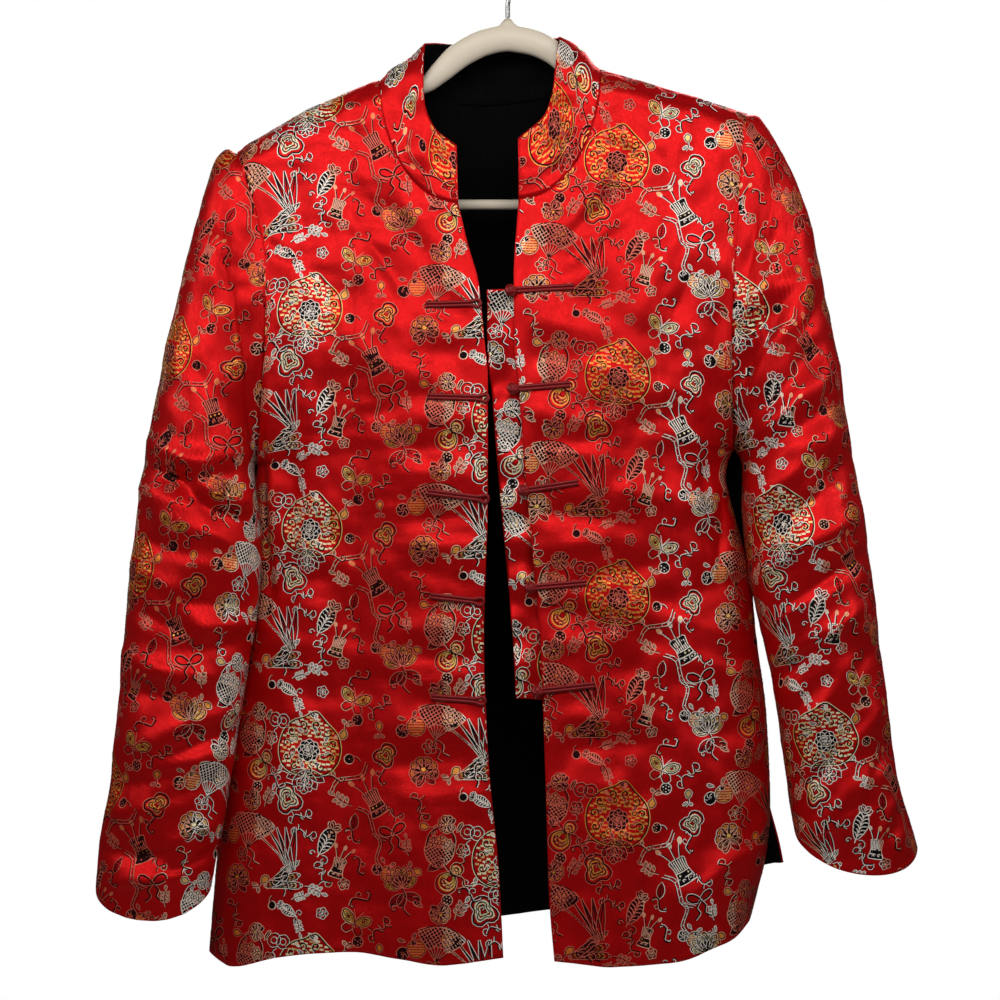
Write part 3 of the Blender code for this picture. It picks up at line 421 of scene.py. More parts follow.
CREASES_LEFT = (
    Fold(122, -446, 300, 2, 2.6, -1.9), Fold(60, -206, 90, -34, 9, 3.0),
    Fold(129, -124, 122, 73, 3, -1.6), Fold(168, -425, 150, -5, 7, -5),
    Fold(60, -240, 70, -50, 6, -3.2), Fold(130, -286, 60, -20, 6, -2.6),
    Fold(46, -232, 80, -46, 8, -2.8), Fold(84, -190, 80, -22, 10, -2.2),
    Fold(60, -262, 120, -62, 11, 3.0), Fold(70, -290, 110, 64, 10, -2.6),
    Fold(36, -300, 60, 84, 7, 2.4), Fold(40, -324, 66, 96, 7, -2.2),
    Fold(46, -372, 70, 80, 8, 2.6), Fold(40, -394, 60, 98, 7, -2.2),
    Fold(48, -446, 76, 84, 8, -2.6), Fold(44, -398, 60, 92, 7, 2.0),
    Fold(50, -468, 70, 96, 8, 2.6), Fold(54, -520, 76, 86, 8, -2.6),
    Fold(60, -542, 70, 94, 8, 2.4), Fold(56, -600, 80, 84, 9, 2.6),
    Fold(66, -622, 90, 98, 9, -2.4), Fold(60, -650, 80, 88, 9, 2.2),
    Fold(92, -340, 110, 72, 11, 2.6), Fold(100, -376, 100, 106, 9, -2.4),
    Fold(98, -430, 100, 80, 10, 2.4), Fold(92, -486, 100, 100, 10, -2.2),
    Fold(104, -520, 100, 78, 10, 2.2), Fold(150, -440, 110, 70, 10, 2.2),
    Fold(156, -350, 150, -3, 8, -2.8), Fold(142, -372, 130, -5, 9, 2.6),
    Fold(168, -392, 130, 0, 6, 2.4), Fold(130, -250, 110, -26, 11, -2.4),
    Fold(154, -222, 90, -12, 10, 2.2), Fold(110, -170, 80, 58, 11, 2.0),
    Fold(160, -500, 120, 106, 10, -2.4), Fold(150, -560, 120, 78, 10, 2.4),
    Fold(170, -610, 120, 98, 10, -2.2), Fold(160, -650, 90, 40, 9, 2.2),
    Fold(172, -712, 80, -58, 8, 2.6), Fold(150, -738, 80, -50, 9, -2.4),
    Fold(118, -700, 130, 2, 10, -2.6), Fold(96, -735, 110, 4, 9, 2.4),
    Fold(50, -740, 100, -2, 9, -2.4), Fold(130, -610, 90, 62, 9, 2.0),
)
CREASES_SLEEVE_RIGHT = (
    Fold(-217, -225, 60, 58, 8, -3.6), Fold(-205, -259, 46, 60, 7, -3.2),
    Fold(-228, -236, 50, 56, 9, 2.4), Fold(-214, -272, 60, 52, 9, 2.2),
    Fold(-236, -290, 60, 40, 10, -2.2), Fold(-206, -320, 80, 10, 7, 2.4),
    Fold(-250, -330, 60, 34, 10, 2.2), Fold(-222, -352, 70, 44, 9, -2.4),
    Fold(-259, -396, 76, 66, 7, 4.0), Fold(-218, -401, 54, 100, 7, 3.6),
    Fold(-264, -413, 62, 68, 5, -4.0), Fold(-237, -415, 52, 95, 5, -3.8),
    Fold(-268, -430, 60, 72, 6, 3.8), Fold(-243, -427, 46, 55, 4.5, -3.8),
    Fold(-213, -432, 42, 68, 5.5, 3.8), Fold(-213, -444, 48, 74, 5, -3.6),
    Fold(-236, -455, 80, 66, 8, 3.0), Fold(-262, -470, 60, 74, 6, -3.0),
    Fold(-226, -484, 70, 78, 7, 2.6), Fold(-272, -492, 56, 66, 7, 3.0),
    Fold(-226, -512, 50, 84, 6, -3.4), Fold(-214, -530, 48, 92, 6, 3.8),
    Fold(-268, -524, 70, 70, 6, -3.0), Fold(-222, -545, 56, 98, 6, -3.0),
    Fold(-278, -556, 60, 74, 7, 3.0), Fold(-250, -566, 70, 88, 7, 2.8),
    Fold(-276, -580, 60, 84, 6, -3.0), Fold(-237, -602, 66, 106, 7, 4.2),
    Fold(-226, -616, 58, 110, 6, -4.0), Fold(-268, -618, 60, 96, 7, 2.8),
    Fold(-250, -634, 70, 104, 7, 2.8), Fold(-272, -646, 64, 100, 6, -3.0),
    Fold(-240, -654, 56, 110, 6, -2.8), Fold(-284, -670, 50, 98, 7, 2.8),
    Fold(-242, -689, 48, 116, 6, 3.6), Fold(-262, -700, 50, 108, 6, -3.0),
    Fold(-237, -708, 42, 112, 5, -3.2), Fold(-290, -704, 50, 84, 6, -2.6),
    Fold(-272, -722, 60, 96, 6, 2.4),
)
CREASES_SLEEVE_LEFT = (
    Fold(199, -180, 46, -17, 5, -3.8), Fold(203, -209, 50, -13, 4.5, 3.8),
    Fold(192, -199, 34, -10, 5, 3.2), Fold(232, -219, 40, 15, 5, 3.0),
    Fold(188, -230, 80, -6, 5, -3.4), Fold(216, -232, 70, -16, 6, -3.2),
    Fold(206, -250, 70, -22, 6, 3.0), Fold(186, -262, 60, -10, 5, 3.0),
    Fold(195, -280, 56, -56, 6, 3.8), Fold(199, -290, 56, -56, 5, -3.8),
    Fold(228, -272, 60, -34, 7, 3.0), Fold(236, -290, 56, -40, 6, -2.8),
    Fold(206, -310, 70, -48, 6, 3.0), Fold(190, -318, 50, -40, 5, -3.4),
    Fold(177, -348, 64, -24, 6, -4.0), Fold(184, -352, 56, -24, 5, 3.4),
    Fold(216, -340, 70, -44, 7, -3.0), Fold(244, -340, 50, -52, 7, 3.0),
    Fold(248, -363, 50, -60, 8, -3.4), Fold(240, -386, 56, -62, 8, 3.4),
    Fold(206, -372, 60, -48, 7, 3.2), Fold(200, -392, 60, -52, 6, -3.4),
    Fold(222, -408, 70, -58, 7, 3.0), Fold(252, -410, 56, -60, 6, -3.2),
    Fold(202, -428, 56, -50, 6, 3.4), Fold(236, -430, 60, -60, 6, -2.8),
    Fold(210, -450, 60, -54, 6, -3.2), Fold(256, -452, 60, -58, 7, 3.2),
    Fold(226, -470, 66, -56, 7, 3.0), Fold(204, -482, 50, -48, 6, 3.0),
    Fold(260, -484, 56, -58, 6, -3.2), Fold(234, -500, 60, -54, 6, -3.0),
    Fold(214, -520, 60, -50, 7, 3.2), Fold(264, -520, 56, -56, 7, 3.0),
    Fold(240, -536, 60, -52, 7, 2.8), Fold(222, -556, 50, -46, 6, -3.2),
    Fold(270, -560, 56, -50, 6, -3.0), Fold(246, -580, 60, -44, 7, 3.0),
    Fold(228, -600, 50, -40, 6, 2.8), Fold(276, -604, 50, -40, 7, 2.8),
    Fold(254, -622, 56, -38, 6, -3.0), Fold(284, -636, 50, -30, 6, -2.8),
    Fold(236, -642, 50, -40, 6, -3.0), Fold(262, -660, 56, -50, 7, 3.4),
    Fold(290, -676, 44, -26, 6, 2.8), Fold(250, -682, 46, -56, 6, 2.8),
)
CREASES_BACK = (
    Fold(-96, -430, 520, 1, 5, -1.4), Fold(72, -420, 520, -1, 5, -1.4),
    Fold(-150, -350, 160, 30, 11, 2.4), Fold(-120, -400, 150, 40, 11, -2.4),
    Fold(130, -350, 160, -32, 11, 2.4), Fold(100, -400, 150, -40, 11, -2.4),
    Fold(-12, -240, 160, 86, 14, 2.0), Fold(-20, -300, 200, 94, 14, -2.0),
    Fold(-60, -520, 150, 70, 12, 2.2), Fold(50, -520, 150, 108, 12, 2.2),
    Fold(-130, -560, 140, 84, 11, -2.2), Fold(120, -560, 140, 96, 11, -2.2),
    Fold(-180, -640, 180, 6, 11, 2.6), Fold(-110, -690, 180, 3, 12, -2.8),
    Fold(-50, -700, 150, 1, 12, 2.6), Fold(40, -700, 150, -2, 12, -2.6),
    Fold(96, -670, 150, -4, 12, 2.6), Fold(170, -640, 150, -8, 11, -2.6),
)


# Finishes
def new_material(name, color, roughness, metallic=0.0):
    material = bpy.data.materials.new(name)
    material.use_nodes = True
    shader = material.node_tree.nodes["Principled BSDF"]
    shader.inputs["Base Color"].default_value = (*color, 1)
    shader.inputs["Roughness"].default_value = roughness
    shader.inputs["Metallic"].default_value = metallic
    return material


def add_node(material, kind, **values):
    node = material.node_tree.nodes.new(kind)
    for name, value in values.items():
        if hasattr(node, name):
            setattr(node, name, value)
        else:
            node.inputs[name.replace("_", " ")].default_value = value
    return node


def link(material, source, target):
    material.node_tree.links.new(source, target)


def noise_between(material, space, scale, low, high, detail=3.0):
    """A noise over the piece, spread between two values."""
    noise = add_node(material, "ShaderNodeTexNoise", Scale=scale, Detail=detail)
    link(material, space, noise.inputs["Vector"])
    spread = add_node(material, "ShaderNodeMapRange", From_Min=0.3, From_Max=0.7,
                      To_Min=low, To_Max=high)
    link(material, noise.outputs["Fac"], spread.inputs["Value"])
    return spread.outputs["Result"]


def grain_bump(material, space, scale, height, strength):
    """Fine relief from a noise, into the shader's normal."""
    shader = material.node_tree.nodes["Principled BSDF"]
    noise = add_node(material, "ShaderNodeTexNoise", Scale=scale, Detail=2.0)
    link(material, space, noise.inputs["Vector"])
    bump = add_node(material, "ShaderNodeBump", Strength=strength, Distance=height)
    link(material, noise.outputs["Fac"], bump.inputs["Height"])
    link(material, bump.outputs["Normal"], shader.inputs["Normal"])


def object_space(material):
    return add_node(material, "ShaderNodeTexCoord").outputs["Object"]


def red_satin():
    material = new_material("red_satin", (0.62, 0.004, 0.006), 0.42, 0.55)
    shader = material.node_tree.nodes["Principled BSDF"]
    shader.inputs["Specular Tint"].default_value = (1.0, 0.30, 0.26, 1)
    shader.inputs["Sheen Weight"].default_value = 0.08
    shader.inputs["Sheen Tint"].default_value = (1.0, 0.05, 0.04, 1)
    space = object_space(material)
    link(material, noise_between(material, space, 420.0, 0.34, 0.50), shader.inputs["Roughness"])
    grain_bump(material, space, 1300.0, 0.0004, 0.5)
    return material


def black_velvet():
    material = new_material("black_velvet", (0.0012, 0.0012, 0.0014), 0.95)
    shader = material.node_tree.nodes["Principled BSDF"]
    shader.inputs["Specular IOR Level"].default_value = 0.1
    space = object_space(material)
    link(material, noise_between(material, space, 300.0, 0.88, 1.0), shader.inputs["Roughness"])
    grain_bump(material, space, 1500.0, 0.0004, 0.4)
    return material


def thread(name, color, roughness=0.45, metallic=0.45, shine=0.5):
    material = new_material(name, color, roughness, metallic)
    space = object_space(material)
    shader = material.node_tree.nodes["Principled BSDF"]
    shader.inputs["Specular IOR Level"].default_value = shine
    low, high = roughness - 0.08, roughness + 0.08
    link(material, noise_between(material, space, 700.0, low, high), shader.inputs["Roughness"])
    return material


def cord_satin():
    material = new_material("cord_satin", (0.24, 0.002, 0.004), 0.4, 0.3)
    shader = material.node_tree.nodes["Principled BSDF"]
    shader.inputs["Sheen Weight"].default_value = 0.08
    shader.inputs["Sheen Tint"].default_value = (1.0, 0.15, 0.15, 1)
    space = object_space(material)
    link(material, noise_between(material, space, 500.0, 0.34, 0.5), shader.inputs["Roughness"])
    grain_bump(material, space, 1600.0, 0.0003, 0.4)
    return material


def cream_plastic():
    material = new_material("cream_plastic", (0.74, 0.64, 0.50), 0.42)
    space = object_space(material)
    shader = material.node_tree.nodes["Principled BSDF"]
    link(material, noise_between(material, space, 40.0, 0.38, 0.48), shader.inputs["Roughness"])
    grain_bump(material, space, 500.0, 0.0002, 0.15)
    return material


def steel_wire():
    material = new_material("steel_wire", (0.62, 0.62, 0.60), 0.25, 1.0)
    space = object_space(material)
    shader = material.node_tree.nodes["Principled BSDF"]
    link(material, noise_between(material, space, 200.0, 0.2, 0.34), shader.inputs["Roughness"])
    return material


SATIN = red_satin()
VELVET = black_velvet()
CORD = cord_satin()
PLASTIC = cream_plastic()
WIRE = steel_wire()


# The woven pattern: one repeat of treasures, fruit and flowers, drawn flat
TONES = ("dark", "pale", "warm", "light")
# The thread colours change in bands across the weft, and the bands are painted sheen. The white band stands
# for the pale, warm and light threads where they catch the light, the blush band for less of it, and the
# rose band for the same threads without it.
SHEEN_BANDS = ("white_sheen", "blush_half_sheen", "rose_no_sheen")
THREADS = {
    ("dark", "white_sheen"): thread("thread_black", (0.004, 0.002, 0.003), 0.75, 0.0, 0.1),
    ("dark", "blush_half_sheen"): thread("thread_soot", (0.008, 0.001, 0.002), 0.75, 0.0, 0.1),
    ("dark", "rose_no_sheen"): thread("thread_ink", (0.020, 0.001, 0.002), 0.75, 0.0, 0.1),
    ("pale", "white_sheen"): thread("thread_white_sheen", (0.98, 0.87, 0.77), 0.5, 0.1),
    ("pale", "blush_half_sheen"): thread("thread_blush_half_sheen", (0.90, 0.42, 0.28), 0.5, 0.2),
    ("pale", "rose_no_sheen"): thread("thread_rose_no_sheen", (0.76, 0.13, 0.08), 0.5, 0.3),
    ("warm", "white_sheen"): thread("thread_straw", (0.94, 0.62, 0.22)),
    ("warm", "blush_half_sheen"): thread("thread_amber", (0.90, 0.36, 0.06)),
    ("warm", "rose_no_sheen"): thread("thread_orange", (0.82, 0.20, 0.02)),
    ("light", "white_sheen"): thread("thread_cream", (0.98, 0.86, 0.52), 0.5, 0.15),
    ("light", "blush_half_sheen"): thread("thread_gold", (0.94, 0.56, 0.14), 0.5, 0.25),
    ("light", "rose_no_sheen"): thread("thread_brass", (0.84, 0.30, 0.04)),
}
SHEEN_BAND_REPEAT = 150.0
SHEEN_BAND_MIDDLE = -10.0  # where the band of white painted sheen runs, along the weft
WHITE_SHEEN_REACH = 0.15  # share of the bands' repeat on each side of the middle
HALF_SHEEN_REACH = 0.26
LIFTS = {"fill": 0.13, "spot": 0.16, "hair": 0.19, "cord": 0.22, "top": 0.25}
CORD_WIDTH = 1.0
CORD_FULLNESS = 1.2
EDGING = 0.55  # pale thread along one side of a dark line
LINE_STEP = 1.7
FINE = (3.8, 20.0)  # longest step along a line, and the steepest turn that it leaves out
COARSE = (7.0, 42.0)
FILL_SPACING = 2.0
FILL_WIDTH = 1.1
REPEAT_WIDTH = 150.0
REPEAT_HEIGHT = 168.0


pen = SimpleNamespace(longest=FINE[0], steepest=FINE[1])  # set afresh for each repeat


def bend(points, closed=False, step=LINE_STEP):
    """An even, smooth line through a few points."""
    points = np.array(points, float)
    if closed:
        ring = np.concatenate((points[-1:], points, points[:2]))
    else:
        ring = np.concatenate((2 * points[:1] - points[1:2], points, 2 * points[-1:] - points[-2:-1]))
    t = np.linspace(0, 1, 8, endpoint=False)[:, None]
    parts = []
    for a, b, c, d in zip(ring, ring[1:], ring[2:], ring[3:]):
        parts.append(0.5 * (2 * b + (c - a) * t + (2 * a - 5 * b + 4 * c - d) * t**2
                            + (3 * b - a - 3 * c + d) * t**3))
    line = np.concatenate((*parts, ring[-2:-1]))
    way = np.concatenate(((0,), np.cumsum(np.linalg.norm(np.diff(line, axis=0), axis=1))))
    count = max(2, round(way[-1] / step))
    at = np.linspace(0, way[-1], count + 1)
    return thin(np.stack([np.interp(at, way, line[:, axis]) for axis in (0, 1)], -1))


def thin(line):
    """A line without the points where it hardly bends."""
    run = unit(np.diff(line, axis=0))
    limit = math.cos(math.radians(pen.steepest))
    kept = [0]
    for place in range(1, len(line) - 1):
        reach = np.linalg.norm(line[place + 1] - line[kept[-1]])
        if reach > pen.longest or run[place] @ run[kept[-1]] < limit:
            kept.append(place)
    return line[kept + [len(line) - 1]]


def arc(x, y, radius, start=0.0, end=360.0):
    angles = np.radians(np.linspace(start, end, max(5, int(abs(end - start) / 40) + 2)))
    return np.stack((x + radius * np.cos(angles), y + radius * np.sin(angles)), -1)


def ring(x, y, radius):
    return arc(x, y, radius)[:-1]


def spiral(x, y, radius, start, turns):
    share = np.linspace(0, 1, max(6, int(abs(turns) * 10)))
    angles = np.radians(start + 360 * turns * share)
    reach = radius * (1 - 0.82 * share)
    return np.stack((x + reach * np.cos(angles), y + reach * np.sin(angles)), -1)


def petal(length, width, back=0.0):
    return [(back, 0), (length * 0.35, width * 0.42), (length * 0.7, width * 0.45), (length, 0),
            (length * 0.7, -width * 0.45), (length * 0.35, -width * 0.42)]


class Sketch:
    """A pen for threads in flat millimetres, which can be set down anywhere, turned and sized."""

    def __init__(self, bm, x=0.0, y=0.0, turn=0.0, size=1.0):
        self.bm, self.x, self.y, self.turn, self.size = bm, x, y, turn, size

    def at(self, x, y, turn=0.0, size=1.0):
        (new_x, new_y), = self.set_down([(x, y)])
        return Sketch(self.bm, new_x, new_y, self.turn + turn, self.size * size)

    def set_down(self, points):
        points = np.asarray(points, float) * self.size
        turn = math.radians(self.turn)
        over = points[:, 0] * math.cos(turn) - points[:, 1] * math.sin(turn)
        up = points[:, 0] * math.sin(turn) + points[:, 1] * math.cos(turn)
        return np.stack((self.x + over, self.y + up), -1)

    def lay(self, grid, tones, level):
        """Threads through a grid of flat points, with one tone for each row of faces."""
        rows, columns = grid.shape[:2]
        made = bmesh.ops.create_grid(self.bm, x_segments=columns - 1, y_segments=rows - 1, size=0.5)
        for face in {face for vert in made["verts"] for face in vert.link_faces}:
            row = int((face.calc_center_median().y + 0.5) * (rows - 1))
            face.material_index = TONES.index(tones[row])
        for vert in made["verts"]:
            over = round((vert.co.x + 0.5) * (columns - 1))
            down = round((vert.co.y + 0.5) * (rows - 1))
            vert.co = (*grid[down, over], LIFTS[level])

    def ribbon(self, line, offsets, tones, level):
        run = np.gradient(line, axis=0)
        if np.allclose(line[0], line[-1]):
            run[0] = run[-1] = line[1] - line[-2]
        side = unit(np.stack((-run[:, 1], run[:, 0]), -1))
        self.lay(np.array([line + side * offset for offset in offsets]), tones, level)

    def cord(self, points, closed=False, width=CORD_WIDTH, tone="dark", edge="pale", level="cord"):
        """A dark line with a pale edge, which runs round the outside of a closed one."""
        line = bend(self.set_down(points), closed)
        ahead = np.roll(line, -1, axis=0)
        if closed and (line[:, 0] * ahead[:, 1] - ahead[:, 0] * line[:, 1]).sum() > 0:
            line = line[::-1]
        half = width * CORD_FULLNESS / 2
        self.ribbon(line, (-half, half, half + EDGING), (tone, edge), level)

    def hair(self, points, closed=False, width=0.6, tone="pale", level="hair"):
        line = bend(self.set_down(points), closed)
        self.ribbon(line, (-width / 2, width / 2), (tone,), level)

    def spot(self, points, tone, edge=None, level="spot", step=4.0):
        """A close patch of threads, for small shapes."""
        rim = bend(self.set_down(points), True)
        middle = rim[:-1].mean(axis=0)
        reach = np.linalg.norm(rim - middle, axis=1).max()
        shares = np.linspace(0.03, 1, max(1, round(reach / step)) + 1)
        grid = np.array([middle + (rim - middle) * share for share in shares])
        self.lay(grid, (tone,) * (len(shares) - 1), level)
        if edge:
            self.ribbon(rim, (-0.35, 0.35), (edge,), "hair")

    def hatch(self, points, spacing, turn, tone="pale", width=0.45, level="hair"):
        """Parallel threads across an outline."""
        outline = np.asarray(points, float)
        angle = math.radians(turn)
        run = np.array((math.cos(angle), math.sin(angle)))
        over = np.array((-run[1], run[0]))
        ends = np.roll(outline, -1, axis=0)
        levels = outline @ over
        for height in np.arange(levels.min() + spacing / 2, levels.max(), spacing):
            start, end = outline @ over - height, ends @ over - height
            cut = (start > 0) != (end > 0)
            share = (start / np.where(cut, start - end, 1))[cut, None]
            meets = outline[cut] + (ends[cut] - outline[cut]) * share
            meets = meets[np.argsort(meets @ run)]
            for first, last in zip(meets[::2], meets[1::2]):
                if np.linalg.norm(last - first) > spacing * 0.7:
                    self.hair([first, last], width=width, tone=tone, level=level)

    def fill(self, points, tone, shares=(0.8, 0.58, 0.36)):
        """Threads that follow an outline inwards, one within the other."""
        points = np.asarray(points, float)
        middle = points.mean(axis=0)
        for share in shares:
            self.hair(middle + (points - middle) * share, True, FILL_WIDTH, tone, "fill")
            self.hair(middle + (points - middle) * (share - 0.1), True, 0.5, "dark", "spot")

    def weft(self, points, tone):
        """Weft threads across an outline, with the satin between them."""
        self.hatch(bend(points, True), FILL_SPACING / self.size, -self.turn, tone, FILL_WIDTH, "fill")


def blossom(s, petals=5, radius=6.0, tone=None):
    for number in range(petals):
        part = s.at(0, 0, 360 / petals * number + 90)
        if tone:
            part.spot(petal(radius, radius * 0.8, radius * 0.2), tone)
        part.cord(petal(radius, radius * 0.8, radius * 0.2), True, 0.6)
    s.spot(ring(0, 0, radius * 0.22), "light")


def leaf(s, length=9.0, width=4.0, tone="dark"):
    s.spot(petal(length, width), tone, "pale")
    s.hair([(length * 0.1, 0), (length * 0.85, 0)], width=0.4)


def veined_leaf(s, length=17.0, width=8.0):
    s.cord(petal(length, width), True, 0.6)
    s.hair([(0, 0), (length * 0.95, 0)], width=0.6, tone="dark")
    for share in (0.25, 0.42, 0.59, 0.76):
        x = length * share
        for way in (1, -1):
            s.hair([(x, 0), (x + length * 0.12, way * width * 0.33)], width=0.5, tone="dark")


def spray(s, reach=18.0, count=3):
    s = s.at(-reach / 2, 0)
    s.cord([(0, 0), (reach * 0.5, 2), (reach, 0)], width=0.6)
    for number in range(count):
        x = reach * (0.25 + 0.75 * number / count)
        leaf(s.at(x, 1, 50), 7, 3.2)
        leaf(s.at(x, 1, -50), 7, 3.2)
    leaf(s.at(reach, 0, 0), 8, 3.4)


def thorn_vine(s):
    """A curling stem with hooked tips."""
    s.cord([(-9, -5), (-5, 1), (0, 0), (5, -3), (9, 4)], width=0.8)
    s.cord(spiral(-9, -1.5, 3.6, -90, -0.8), width=0.8)
    s.cord(spiral(9, 0.5, 3.6, 90, -0.8), width=0.8)
    for x, y, turn in ((-5, 1, 80), (-1, 0, -80), (3, -2, 70), (6, -2, -60)):
        s.at(x, y, turn).cord([(0, 0), (3, 0.8), (5, 2.6)], width=0.7)


def cloud(s):
    s.fill([(0, -8), (9, -9), (9, 0), (6, 10), (0, 12), (-6, 10), (-9, 0), (-9, -9)], "light")
    s.cord([(0, -9), (6, -11), (11, -7), (10, -1), (7, 3), (8, 9), (3, 13), (-3, 13), (-8, 9),
            (-7, 3), (-10, -1), (-11, -7), (-6, -11)], True)
    s.cord([(0, -5), (5, -6.5), (7, -3), (3.5, 1), (4.5, 6), (0, 9), (-4.5, 6), (-3.5, 1),
            (-7, -3), (-5, -6.5)], True, 0.7)
    s.cord(spiral(0, 3.5, 2.8, -90, 1.1), width=0.6)
    s.hair([(-3, -3), (0, -4), (3, -3)], width=0.7, tone="dark")


def wisp(s, reach=12.0):
    s.cord([(-reach, -4), (-reach * 0.6, 2), (0, 0), (reach * 0.6, -3), (reach, 3)])
    s.cord(spiral(-reach * 0.75, -4.4, 3.2, 120, 1.0), width=0.7)
    s.cord(spiral(reach * 0.72, 4.2, 3.2, -60, 1.0), width=0.7)
    s.cord(spiral(0, 4.5, 3.4, -90, -1.0), width=0.7)


def streamer(s, reach=22.0):
    """A ribbon that flutters, drawn by its two edges."""
    for side in (-1.7, 1.7):
        s.cord([(-reach, side - 2), (-reach * 0.5, side + 4), (0, side - 1),
                (reach * 0.5, side - 5), (reach, side + 2)], width=0.5)
    for share in np.linspace(-0.8, 0.8, 6):
        x = reach * share
        y = 4 * math.sin(-x / reach * 3.1)
        s.hair([(x, y - 1.2), (x + 0.8, y + 1.2)], width=0.5)


def seed_pod(s, radius=5.0):
    s.spot(ring(0, 0, radius), "dark", "pale")
    for number in range(6):
        angle = math.radians(60 * number)
        x, y = 0.58 * radius * math.cos(angle), 0.58 * radius * math.sin(angle)
        s.spot(ring(x, y, radius * 0.2), "pale", level="hair")
    s.spot(ring(0, 0, radius * 0.2), "pale", level="hair")
    s.cord([(-radius, 0), (-radius - 3, 2), (-radius - 4, 6)], width=0.6)


def bud(s):
    s.spot(petal(8, 6), "warm")
    s.cord(petal(8, 6), True, 0.6)
    s.cord([(0, 0), (-4, -1), (-8, 2)], width=0.6)
    leaf(s.at(-3, 0, 130), 7, 3)
    leaf(s.at(-4, 0, -120), 6, 3)


def fruit_pair(s):
    leaf(s.at(-2, 8, 150), 9, 4)
    leaf(s.at(4, 9, 40), 8, 4)
    s.spot(ring(-8, -2, 6.5), "dark", "pale")
    for number in range(6):
        s.hair(spiral(-8, -2, 5.2, 60 * number, 0.15), width=0.6)
    s.weft(ring(6, -1, 8.6), "warm")
    s.cord(ring(6, -1, 8.8), True, 0.5)
    for number in range(20):
        angle, reach = math.radians(137.5 * number), 7.4 * math.sqrt((number + 0.5) / 20)
        x, y = 6 + reach * math.cos(angle), -1 + reach * math.sin(angle)
        s.hair([(x - 0.9, y - 0.6), (x + 0.9, y + 0.6)], width=0.6)
    s.spot(ring(5, 5, 2.8), "dark", "pale")


def peach(s):
    """A round fruit full of curls and leaves, about a dark flower."""
    s = s.at(0, 5)
    rim = [(0, -27), (16, -26), (28, -15), (31, 0), (26, 15), (14, 26), (3, 35), (-7, 29),
           (-20, 23), (-29, 11), (-31, -4), (-26, -18), (-14, -26)]
    s.cord(rim, True, 0.8, edge="light")
    for number in range(18, 130):
        angle, reach = math.radians(137.5 * number), 29.5 * math.sqrt(number / 130)
        x, y = reach * math.cos(angle), reach * math.sin(angle)
        tone = "light" if number % 3 else "warm"
        s.hair([(x - 1.9, y), (x + 1.9, y)], width=1.5, tone=tone, level="fill")
    for number in range(11):
        angle = math.radians(360 / 11 * number + 12)
        x, y = 24 * math.cos(angle), 23 * math.sin(angle)
        way = 1 if number % 2 else -1
        s.cord(spiral(x, y, 4.4, math.degrees(angle) + 180, 1.1 * way), width=0.9, edge="light")
    for number in range(8):
        angle = 45 * number + 20
        x, y = 15.5 * math.cos(math.radians(angle)), 15 * math.sin(math.radians(angle))
        leaf(s.at(x, y, angle + 50), 8.5, 3.6)
        s.cord(spiral(x * 1.05, y * 1.05, 3.4, angle, -1.0), width=0.7, edge="light")
    for x, y, turn in ((3, 27, 80), (-12, 20, 130), (23, 11, 40)):
        leaf(s.at(x, y, turn), 7, 3.2, "warm")
    blossom(s.at(0, -3), 8, 10.5, "dark")
    blossom(s.at(0, -3, 22), 6, 5.5, "light")
    for turn in (205, 235, 305, 335):
        veined_leaf(s.at(0, -23, turn), 20, 8)
    for x, way in ((20, 1), (-20, -1)):
        s.cord([(x * 0.7, -28), (x * 1.2, -25), (x * 1.7, -30)], width=0.8)
        s.cord(spiral(x * 1.75, -26.5, 3.8, -90, 0.9 * way), width=0.7)
        leaf(s.at(x * 1.4, -27, 90 + 20 * way), 8, 3.6)
    blossom(s.at(0, -37), 6, 8)


def folding_fan(s):
    s = s.at(-11, -16)
    sail = np.concatenate((arc(0, 0, 40, 18, 104), arc(0, 0, 17, 104, 18)))
    s.spot(sail, "dark", "pale")
    s.hatch(bend(sail, True), 3.6, 15, "pale", 0.6)
    s.hatch(bend(sail, True), 3.6, 105, "pale", 0.6, "cord")
    s.cord(arc(0, 0, 40, 18, 104), width=0.8)
    for turn in range(20, 106, 14):
        end = (17 * math.cos(math.radians(turn)), 17 * math.sin(math.radians(turn)))
        s.cord([(0, 0), end], width=0.5)
    blossom(s.at(19, 20), 5, 7.5, "warm")
    s.cord([(0, 0), (-5, -7), (1, -13), (-5, -20), (0, -26)], width=0.7)
    s.cord([(0, 0), (6, -8), (3, -16), (9, -22)], width=0.7)
    s.spot(ring(0, 0, 2.4), "light", "dark")


def reeds(s, count=5, reach=44.0):
    s = s.at(0, -reach / 2)
    for number in range(count):
        lean = (number - (count - 1) / 2) * 9
        tall = reach * (1 - 0.08 * abs(number - 1))
        s.cord([(lean * 0.08 - 1, 0), (lean * 0.3 - 1.6, tall * 0.45), (lean, tall)], width=0.6)
        s.cord([(lean, tall), (lean * 0.5 + 1.6, tall * 0.45), (lean * 0.08 + 1, 0)], width=0.6)
        s.hair([(lean * 0.1, 4), (lean * 0.4, tall * 0.45), (lean * 0.85, tall * 0.84)], width=0.9,
               tone="dark")
    for turn in (160, 20):
        leaf(s.at(0, 2, turn), 11, 4)


